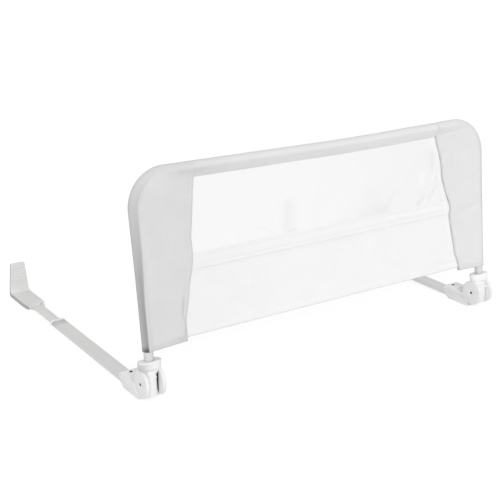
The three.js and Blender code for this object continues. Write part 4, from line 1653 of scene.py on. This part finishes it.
@dataclass(frozen=True)
class TubeFrame:
    """The bent frame tube in two halves, with the joiner, its button and the leaf spring in it."""

    radius: float = 10.0
    wall: float = 1.2
    foot: float = 34.0
    join_gap: float = 0.15
    sides: int = 36
    corner_steps: int = 16
    upright_part: float = 350.0

    def half(self, side: Side) -> None:
        """Bends one half of the frame from a drawn ring.

        Args:
            side: The half's upright.
        """
        shape = bmesh.new()
        foot = Matrix.Translation(PANEL.place(side.value * LINE.half, 0.0, self.foot))
        lean = Matrix.Rotation(-PANEL.lean, 4, "X")
        bmesh.ops.create_circle(shape, segments=self.sides, radius=self.radius * MM, matrix=foot @ lean)
        bend = PANEL.place(side.value * LINE.half, 0.0, LINE.straight)
        ring = self.drawn(shape, list(shape.edges), bend - foot.translation)
        bent = bmesh.ops.spin(
            shape,
            geom=ring,
            cent=PANEL.place(side.value * (LINE.half - LINE.corner), 0.0, LINE.straight),
            axis=PANEL.forward(),
            angle=side.value * (math.pi / 2 + LINE.fall(side)),
            steps=self.corner_steps,
        )["geom_last"]
        ring = [item for item in bent if isinstance(item, bmesh.types.BMEdge)]
        end = PANEL.place(LINE.join + side.value * self.join_gap, 0.0, LINE.top - LINE.sag)
        self.drawn(shape, ring, end - sum((edge.verts[0].co for edge in ring), Vector()) / len(ring))
        bmesh.ops.recalc_face_normals(shape, faces=shape.faces)
        turned_out(shape, lambda point: self.away(side, point))
        thicken(Workshop.stand_in(side.named("frame_tube"), shape, FRAME_PAINT), self.wall)

    def drawn(self, shape: bmesh.types.BMesh, ring: list[Any], by: Vector) -> list[Any]:
        """Draws a ring of edges out along a vector.

        Args:
            shape: The mesh.
            ring: The ring's edges.
            by: The way and length, in metres.

        Returns:
            The new ring's edges.
        """
        grown = bmesh.ops.extrude_edge_only(shape, edges=ring)["geom"]
        verts = [item for item in grown if isinstance(item, bmesh.types.BMVert)]
        bmesh.ops.translate(shape, verts=verts, vec=by)
        edges = [item for item in grown if isinstance(item, bmesh.types.BMEdge)]
        return [edge for edge in edges if all(vertex in verts for vertex in edge.verts)]

    def away(self, side: Side, point: Vector) -> Vector:
        """The direction from the upright's line to a point of the tube.

        Args:
            side: The half's upright.
            point: The point in metres.

        Returns:
            The direction, or nothing above the upright's part.
        """
        up = (point.z / MM - PANEL.rise) / math.cos(PANEL.lean)
        centre = PANEL.place(side.value * LINE.half, 0.0, up)
        return point - centre if point.z < self.upright_part * MM else Vector()

    def build(self) -> None:
        """Makes both halves and dresses what joins them."""
        for side in Side:
            self.half(side)
        Workshop.repaint("frame_joiner", ZINC)
        Workshop.repaint("joiner_button", ZINC)
        shape = Workshop.rounded(Workshop.copy_of("button_leaf"), 0.05)
        leaf = Workshop.piece("button_leaf_finished", shape, SPRING_STEEL, "", ["button_leaf"])
        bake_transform(leaf)


# Hinges, arms, straps and feet


@dataclass(frozen=True)
class HingeFrame:
    """The axes at one hinge: out from the rail's middle, back to the bed, up from the hinge's line."""

    side: Side
    spread: float = 460.0
    behind: float = -338.5
    rise: float = 40.0

    def place(self, out: float, back: float, up: float) -> Vector:
        """The point in metres for a place at the hinge in millimetres."""
        return Vector((self.side.value * (self.spread + out), back + self.behind, up + self.rise)) * MM


@dataclass(frozen=True)
class Hinge:
    """The split housing on the upright's foot, its lock, and the fork bracket that turns on it."""

    side: Side
    ear_radius: float = 30.0
    ear_rounding: float = 2.2
    pivot_hole: float = 3.6
    screw_place: float = 84.0
    screw_hole: float = 4.0
    funnel: Place = (31.0, 44.0)
    funnel_grows: float = 4.6
    socket_offset: float = 5.0
    # Painted shade on the left collar's outer end, painted light on the right collar
    left_end_tone: float = 0.3
    right_tone: float = -0.07
    gap_depth: float = -8.0
    gap_inside: float = 20.0
    gap_front: float = -26.0
    gap_shoulder: float = -19.5
    gap_rows: tuple[tuple[float, float, float], ...] = (
        (-24.0, 7.0, 13.6), (-14.0, 4.4, 12.0), (0.0, 3.6, 11.3), (26.0, 3.0, 11.0),
    )
    turns: int = 7
    wire: float = 0.45
    steps_a_turn: int = 14

    @property
    def hinge(self) -> HingeFrame:
        """The hinge's own axes."""
        return HingeFrame(self.side)

    def leaned(self, point: Vector) -> float:
        """The height of a point up the leaning socket, from the hinge's line, in millimetres."""
        off = (point - self.hinge.place(0.0, 0.0, 0.0)) / MM
        return off.z * math.cos(PANEL.lean) + (off.y + self.socket_offset) * math.sin(PANEL.lean)

    def spring(self) -> None:
        """Winds the lock's spring inside its CAD solid."""
        node = self.side.named("lock_spring")
        low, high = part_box(node)
        middle = (low + high) / 2.0
        wire, steps = self.wire * MM, self.steps_a_turn * self.turns
        end_room = 1.1 * wire
        radius, length = (high.x - low.x) / 2.0 - wire, high.z - low.z - 2.0 * end_room
        shape = bmesh.new()
        start = Matrix.Translation((middle.x + radius, middle.y, low.z + end_room))
        upright = Matrix.Rotation(math.pi / 2, 4, "X")
        ring = bmesh.ops.create_circle(shape, segments=8, radius=wire, matrix=start @ upright)["verts"]
        bmesh.ops.spin(
            shape,
            geom=[*ring, *shape.edges],
            cent=middle,
            axis=(0.0, 0.0, 1.0),
            dvec=(0.0, 0.0, length / steps),
            angle=2.0 * math.pi * self.turns,
            steps=steps,
        )
        bmesh.ops.holes_fill(shape, edges=shape.edges, sides=8)
        bmesh.ops.recalc_face_normals(shape, faces=shape.faces)
        Workshop.stand_in(node, shape, SPRING_STEEL, "wound")

    def bracket(self) -> None:
        """Softens the rims of the ears and the other edges, and paints shadow into the screw and pivot
        holes.
        """
        node = self.side.named("bracket")
        shape = Workshop.copy_of(node)
        pivot, screw = self.hinge.place(0.0, 0.0, 0.0), self.hinge.place(0.0, self.screw_place, 0.0)

        def from_pivot(point: Vector) -> float:
            """The distance from the pivot's line, in millimetres."""
            return math.hypot(point.y - pivot.y, point.z - pivot.z) / MM

        rims = [
            edge
            for edge in shape.edges
            if len(edge.link_faces) == 2
            and edge.calc_face_angle(0.0) > 1.0
            and all(abs(from_pivot(vertex.co) - self.ear_radius) < 0.3 for vertex in edge.verts)
        ]
        Workshop.bevelled(shape, rims, self.ear_rounding, segments=4, clamp=False)
        Workshop.rounded(shape, 0.8, 32.0)
        # Faces in the pivot hole and the screw hole take the painted shadow
        for face in shape.faces:
            middle = face.calc_center_median()
            round_pivot = from_pivot(middle) < self.pivot_hole and abs(face.normal.x) < 0.8
            from_screw = math.hypot(middle.x - screw.x, middle.y - screw.y) / MM
            round_screw = from_screw < self.screw_hole and abs(face.normal.z) < 0.8
            face.material_index = int(round_pivot or round_screw)
        Workshop.stand_in(node, shape, WHITE_PLASTIC, second=PAINTED_SHADOW)

    def gap_cutter(self) -> bmesh.types.BMesh:
        """The closed shape cut beside the inner ear, narrower towards its foot.

        Returns:
            The shape.
        """
        shape = bmesh.new()
        rings = []
        for up, front, inside in self.gap_rows:
            plan = (
                (front, self.gap_front),
                (front, self.gap_shoulder),
                (inside, self.gap_depth),
                (self.gap_inside, self.gap_depth),
                (self.gap_inside, self.gap_front),
            )
            rings.append([shape.verts.new(self.hinge.place(-out, back, up)) for out, back in plan])
        for lower, upper in zip(rings, rings[1:]):
            for k, corner in enumerate(lower):
                after = (k + 1) % len(lower)
                shape.faces.new((corner, lower[after], upper[after], upper[k]))
        shape.faces.new(rings[0])
        shape.faces.new(rings[-1])
        bmesh.ops.recalc_face_normals(shape, faces=shape.faces)
        return shape

    def housing(self, half: str) -> None:
        """Rounds one half of the housing; the left rail end's inner one has a gap cut beside its ear, with
        painted shadow on its back face.

        Args:
            half: The CAD node's ending, housing_outer or housing_inner.
        """
        node = self.side.named(half)
        shape = Workshop.copy_of(node)
        centre = self.hinge.place(0.0, 0.0, 0.0)
        low, high = self.funnel
        for vertex in shape.verts:
            up, off = self.leaned(vertex.co), vertex.co.x - centre.x
            if low - 0.4 < up < high and abs(off) > 8.0 * MM:
                vertex.co.x += math.copysign(self.funnel_grows * MM * (high - up) / (high - low), off)
        cut = half == "housing_inner" and self.side is Side.LEFT
        if cut:
            shape = Workshop.carved(shape, self.gap_cutter())
        Workshop.rounded(shape, 0.6)
        back = self.hinge.place(0.0, self.gap_depth, 0.0).y
        # The back face of the cut gap takes the painted shadow
        for face in shape.faces:
            middle = face.calc_center_median()
            inside = self.gap_rows[0][0] < (middle.z - centre.z) / MM < self.gap_rows[-1][0]
            at_back = abs(middle.y - back) < 0.8 * MM and face.normal.y < -0.6
            face.material_index = int(cut and inside and at_back)

        def collar(vertex: bmesh.types.BMVert) -> float:
            """The collar's painted shade: darker at the left rail end's outer side, painted light at the
            right one.

            Args:
                vertex: The housing's vertex.

            Returns:
                The share of darkness, 0 below the collar.
            """
            out, up = (vertex.co.x - centre.x) / MM * self.side.value, self.leaned(vertex.co)
            if up <= low - 1.0:
                return 0.0
            if self.side is Side.RIGHT:
                return self.right_tone
            return self.left_end_tone * ease(3.0, 20.0, out) * wane(44.2, 47.2, up)

        Workshop.toned(shape, collar)
        Workshop.stand_in(node, shape, WHITE_PLASTIC, second=PAINTED_SHADOW)

    def build(self) -> None:
        """Makes the housing, lock, bracket and the metal parts in them."""
        named = self.side.named
        self.housing("housing_outer")
        self.housing("housing_inner")
        self.bracket()
        Workshop.refined(named("lock_slide"), LOCK_PLASTIC, 0.7)
        Workshop.refined(named("index_hub"), ZINC, 0.3)
        Workshop.repaint(named("pivot_axle"), ZINC)
        # Pivot and bracket screws near black: painted shade of their deep holes
        for part in ("pivot_screw_outer", "pivot_screw_inner", "bracket_screw"):
            Workshop.refined(named(part), SCREW_STEEL_PAINTED_SHADE, 0.25)
        for part in ("housing_screw_1", "housing_screw_2"):
            Workshop.refined(named(part), FRAME_PAINT, 0.25, slot="zinc_steel")
        self.spring()


@dataclass(frozen=True)
class Arm:
    """The flat metal arm under the mattress, with its end cap."""

    side: Side
    half_width: float = 18.0
    half_height: float = 6.0
    middle: float = -31.0
    start: float = 46.0
    end: float = 456.0
    wall: float = 1.5
    sides: int = 48
    cuts: int = 12

    def tube(self) -> None:
        """Draws the flat oval tube from a circle whose two halves are moved apart."""
        hinge = HingeFrame(self.side)
        shape = bmesh.new()
        turn = Matrix.Rotation(math.pi / 2, 4, "X") @ Matrix.Rotation(math.pi / self.sides, 4, "Z")
        radius = self.half_height * MM
        ring = bmesh.ops.create_circle(shape, segments=self.sides, radius=radius, matrix=turn)["verts"]
        for vertex in ring:
            vertex.co.x += math.copysign((self.half_width - self.half_height) * MM, vertex.co.x)
        bmesh.ops.translate(shape, verts=ring, vec=hinge.place(0.0, self.start, self.middle))
        grown = bmesh.ops.extrude_edge_only(shape, edges=shape.edges)["geom"]
        far = [item for item in grown if isinstance(item, bmesh.types.BMVert)]
        length = (self.end - self.start) * MM
        bmesh.ops.translate(shape, verts=far, vec=(0.0, length, 0.0))
        along = [edge for edge in shape.edges if abs(edge.verts[0].co.y - edge.verts[1].co.y) > length / 2.0]
        bmesh.ops.subdivide_edges(shape, edges=along, cuts=self.cuts)
        centre = hinge.place(0.0, 0.0, self.middle)
        turned_out(shape, lambda point: Vector((point.x - centre.x, 0.0, point.z - centre.z)))
        piece = Workshop.stand_in(self.side.named("arm_tube"), shape, ARM_METAL, "drawn", crisp=50.0)
        thicken(piece, self.wall)

    def build(self) -> None:
        """Makes the tube and rounds its cap."""
        self.tube()
        Workshop.refined(self.side.named("end_cap"), WHITE_PLASTIC, 0.6)


@dataclass(frozen=True)
class PullStrap:
    """The webbing strap in the arm, sewn round the foot pin, with the stop on its inner end."""

    side: Side
    rounding: float = 0.3
    crisp: float = 40.0

    def build(self) -> None:
        """Makes the ribbed strap in place of its CAD solid and rounds the stop."""
        node = self.side.named("strap")
        shape = Workshop.copy_of(node)
        layer = shape.loops.layers.uv.verify()
        for loop in (loop for face in shape.faces for loop in face.loops):
            loop[layer].uv = (loop.vert.co.x, loop.vert.co.y + loop.vert.co.z)
        Workshop.rounded(shape, self.rounding, self.crisp)
        piece = Workshop.stand_in(node, shape, STRAP_WEBBING, "webbing", crisp=self.crisp)
        self.side.named("foot_pin")
        Workshop.refined(self.side.named("strap_stop"), WHITE_PLASTIC, 0.5)


@dataclass(frozen=True)
class AnchorFoot:
    """The L-shaped foot that hooks over the far side of the bed base, and its pin."""

    side: Side
    rounding: float = 0.7
    # Painted shade on the foot's outer side
    side_tone: float = 0.42

    def build(self) -> None:
        """Rounds the foot, with painted shade on its outer side, and the pin."""
        node = self.side.named("foot")
        shape = Workshop.rounded(Workshop.copy_of(node), self.rounding)
        shape.normal_update()
        outer = self.side.value
        Workshop.toned(shape, lambda vertex: self.side_tone * ease(0.3, 0.9, vertex.normal.x * outer))
        Workshop.stand_in(node, shape, FOOT_PLASTIC)
        Workshop.refined(self.side.named("foot_pin"), ZINC, 0.3)


# Studio


@dataclass(frozen=True)
class Studio:
    """A plain white floor, soft daylight from beside the camera and above, and the camera.

    Distances are in metres and angles in degrees. The sun's azimuth goes to the right of straight
    in front of the rail, and its softness is the angle that its light spreads over.
    """

    camera_at: tuple[float, float, float] = (-1.3416, -2.0334, 0.9730)
    camera_turn: tuple[float, float, float] = (71.08, 0.0, -33.55)
    lens: float = 74.834
    sun_strength: float = 1.3
    sun_azimuth: float = -26.0
    sun_height: float = 29.0
    sun_softness: float = 30.0
    ambient: float = 0.65
    floor_grey: Colour = (0.8, 0.8, 0.8)
    floor_glow: float = 0.42
    floor_clear: float = 0.6
    floor_size: float = 30.0

    def stood(self, name: str, data: Any) -> bpy.types.Object:
        """Puts a camera, lamp or mesh into the scene as an object.

        Args:
            name: The object's name.
            data: What it shows.

        Returns:
            The object.
        """
        item = bpy.data.objects.new(name, data)
        bpy.context.scene.collection.objects.link(item)
        return item

    def camera(self) -> None:
        """Stands the camera where the photograph was taken."""
        data = bpy.data.cameras.new("camera")
        data.lens = self.lens
        data.sensor_width = 36.0
        data.clip_end = 200.0
        camera = self.stood("camera", data)
        camera.location = self.camera_at
        camera.rotation_euler = [math.radians(angle) for angle in self.camera_turn]
        bpy.context.scene.camera = camera

    def sun(self) -> None:
        """Adds the soft parallel light."""
        data = bpy.data.lights.new("key", "SUN")
        data.energy = self.sun_strength
        data.angle = math.radians(self.sun_softness)
        turn, rise = math.radians(self.sun_azimuth), math.radians(self.sun_height)
        way = Vector((math.sin(turn) * math.cos(rise), -math.cos(turn) * math.cos(rise), math.sin(rise)))
        self.stood("key", data).rotation_euler = way.to_track_quat("Z", "Y").to_euler()

    def world(self) -> None:
        """Plain ambient light, which the camera and glossy and clear surfaces see as white."""
        world = bpy.data.worlds.new("studio")
        board = NodeBoard(world)
        path = board.add("LightPath").outputs
        seen = board.maths("MAXIMUM", path["Is Camera Ray"], path["Is Glossy Ray"])
        seen = board.maths("MAXIMUM", seen, path["Is Transmission Ray"])
        strength = board.add("MapRange", seen, To_Min=self.ambient, To_Max=1.0).outputs[0]
        light = board.add("Background", Color=(1.0, 1.0, 1.0), Strength=strength)
        board.add("OutputWorld", light.outputs[0])
        bpy.context.scene.world = world

    def floor(self) -> None:
        """Lays the floor: white to the camera, keeping the rail's soft shadow, and partly clear.

        Arms that are folded down swing below the floor's level, as they do beside a bed, and stay
        visible through it.
        """
        shape = bmesh.new()
        bmesh.ops.create_grid(shape, x_segments=2, y_segments=2, size=self.floor_size)
        mesh = bpy.data.meshes.new("floor")
        shape.to_mesh(mesh)
        shape.free()
        floor = self.stood("floor", mesh)
        material = bpy.data.materials.new("floor")
        board = NodeBoard(material)
        path = board.add("LightPath").outputs
        seen = board.maths("MAXIMUM", path["Is Camera Ray"], path["Is Glossy Ray"])
        paint = board.add("BsdfDiffuse", Color=self.floor_grey).outputs[0]
        glow = board.add("Emission", Strength=board.maths("MULTIPLY", seen, self.floor_glow)).outputs[0]
        lit = board.add("AddShader", paint, glow).outputs[0]
        clear = board.maths("MULTIPLY", path["Is Camera Ray"], self.floor_clear)
        clear = board.maths("MAXIMUM", clear, path["Is Shadow Ray"])
        bare = board.add("BsdfTransparent").outputs[0]
        board.add("OutputMaterial", board.add("MixShader", clear, lit, bare).outputs[0])
        mesh.materials.append(material)
        floor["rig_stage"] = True

    def build(self) -> None:
        """Sets up the camera, light and floor."""
        self.camera()
        self.sun()
        self.world()
        self.floor()
        bpy.context.scene.view_settings.view_transform = "Standard"


def keep_size() -> None:
    """Works out the CAD box and the finished object's box, and keeps neither."""
    boxes = {"cad": cad_box, "scene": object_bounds()}
    {name: [list(corner) for corner in box] for name, box in boxes.items()}


def main() -> None:
    """Builds the studio and every sub-assembly in order."""
    Studio().build()
    Cover().build()
    TubeFrame().build()
    for side in Side:
        Hinge(side).build()
        Arm(side).build()
        PullStrap(side).build()
        AnchorFoot(side).build()
    keep_size()


if __name__ == "__main__":
    main()
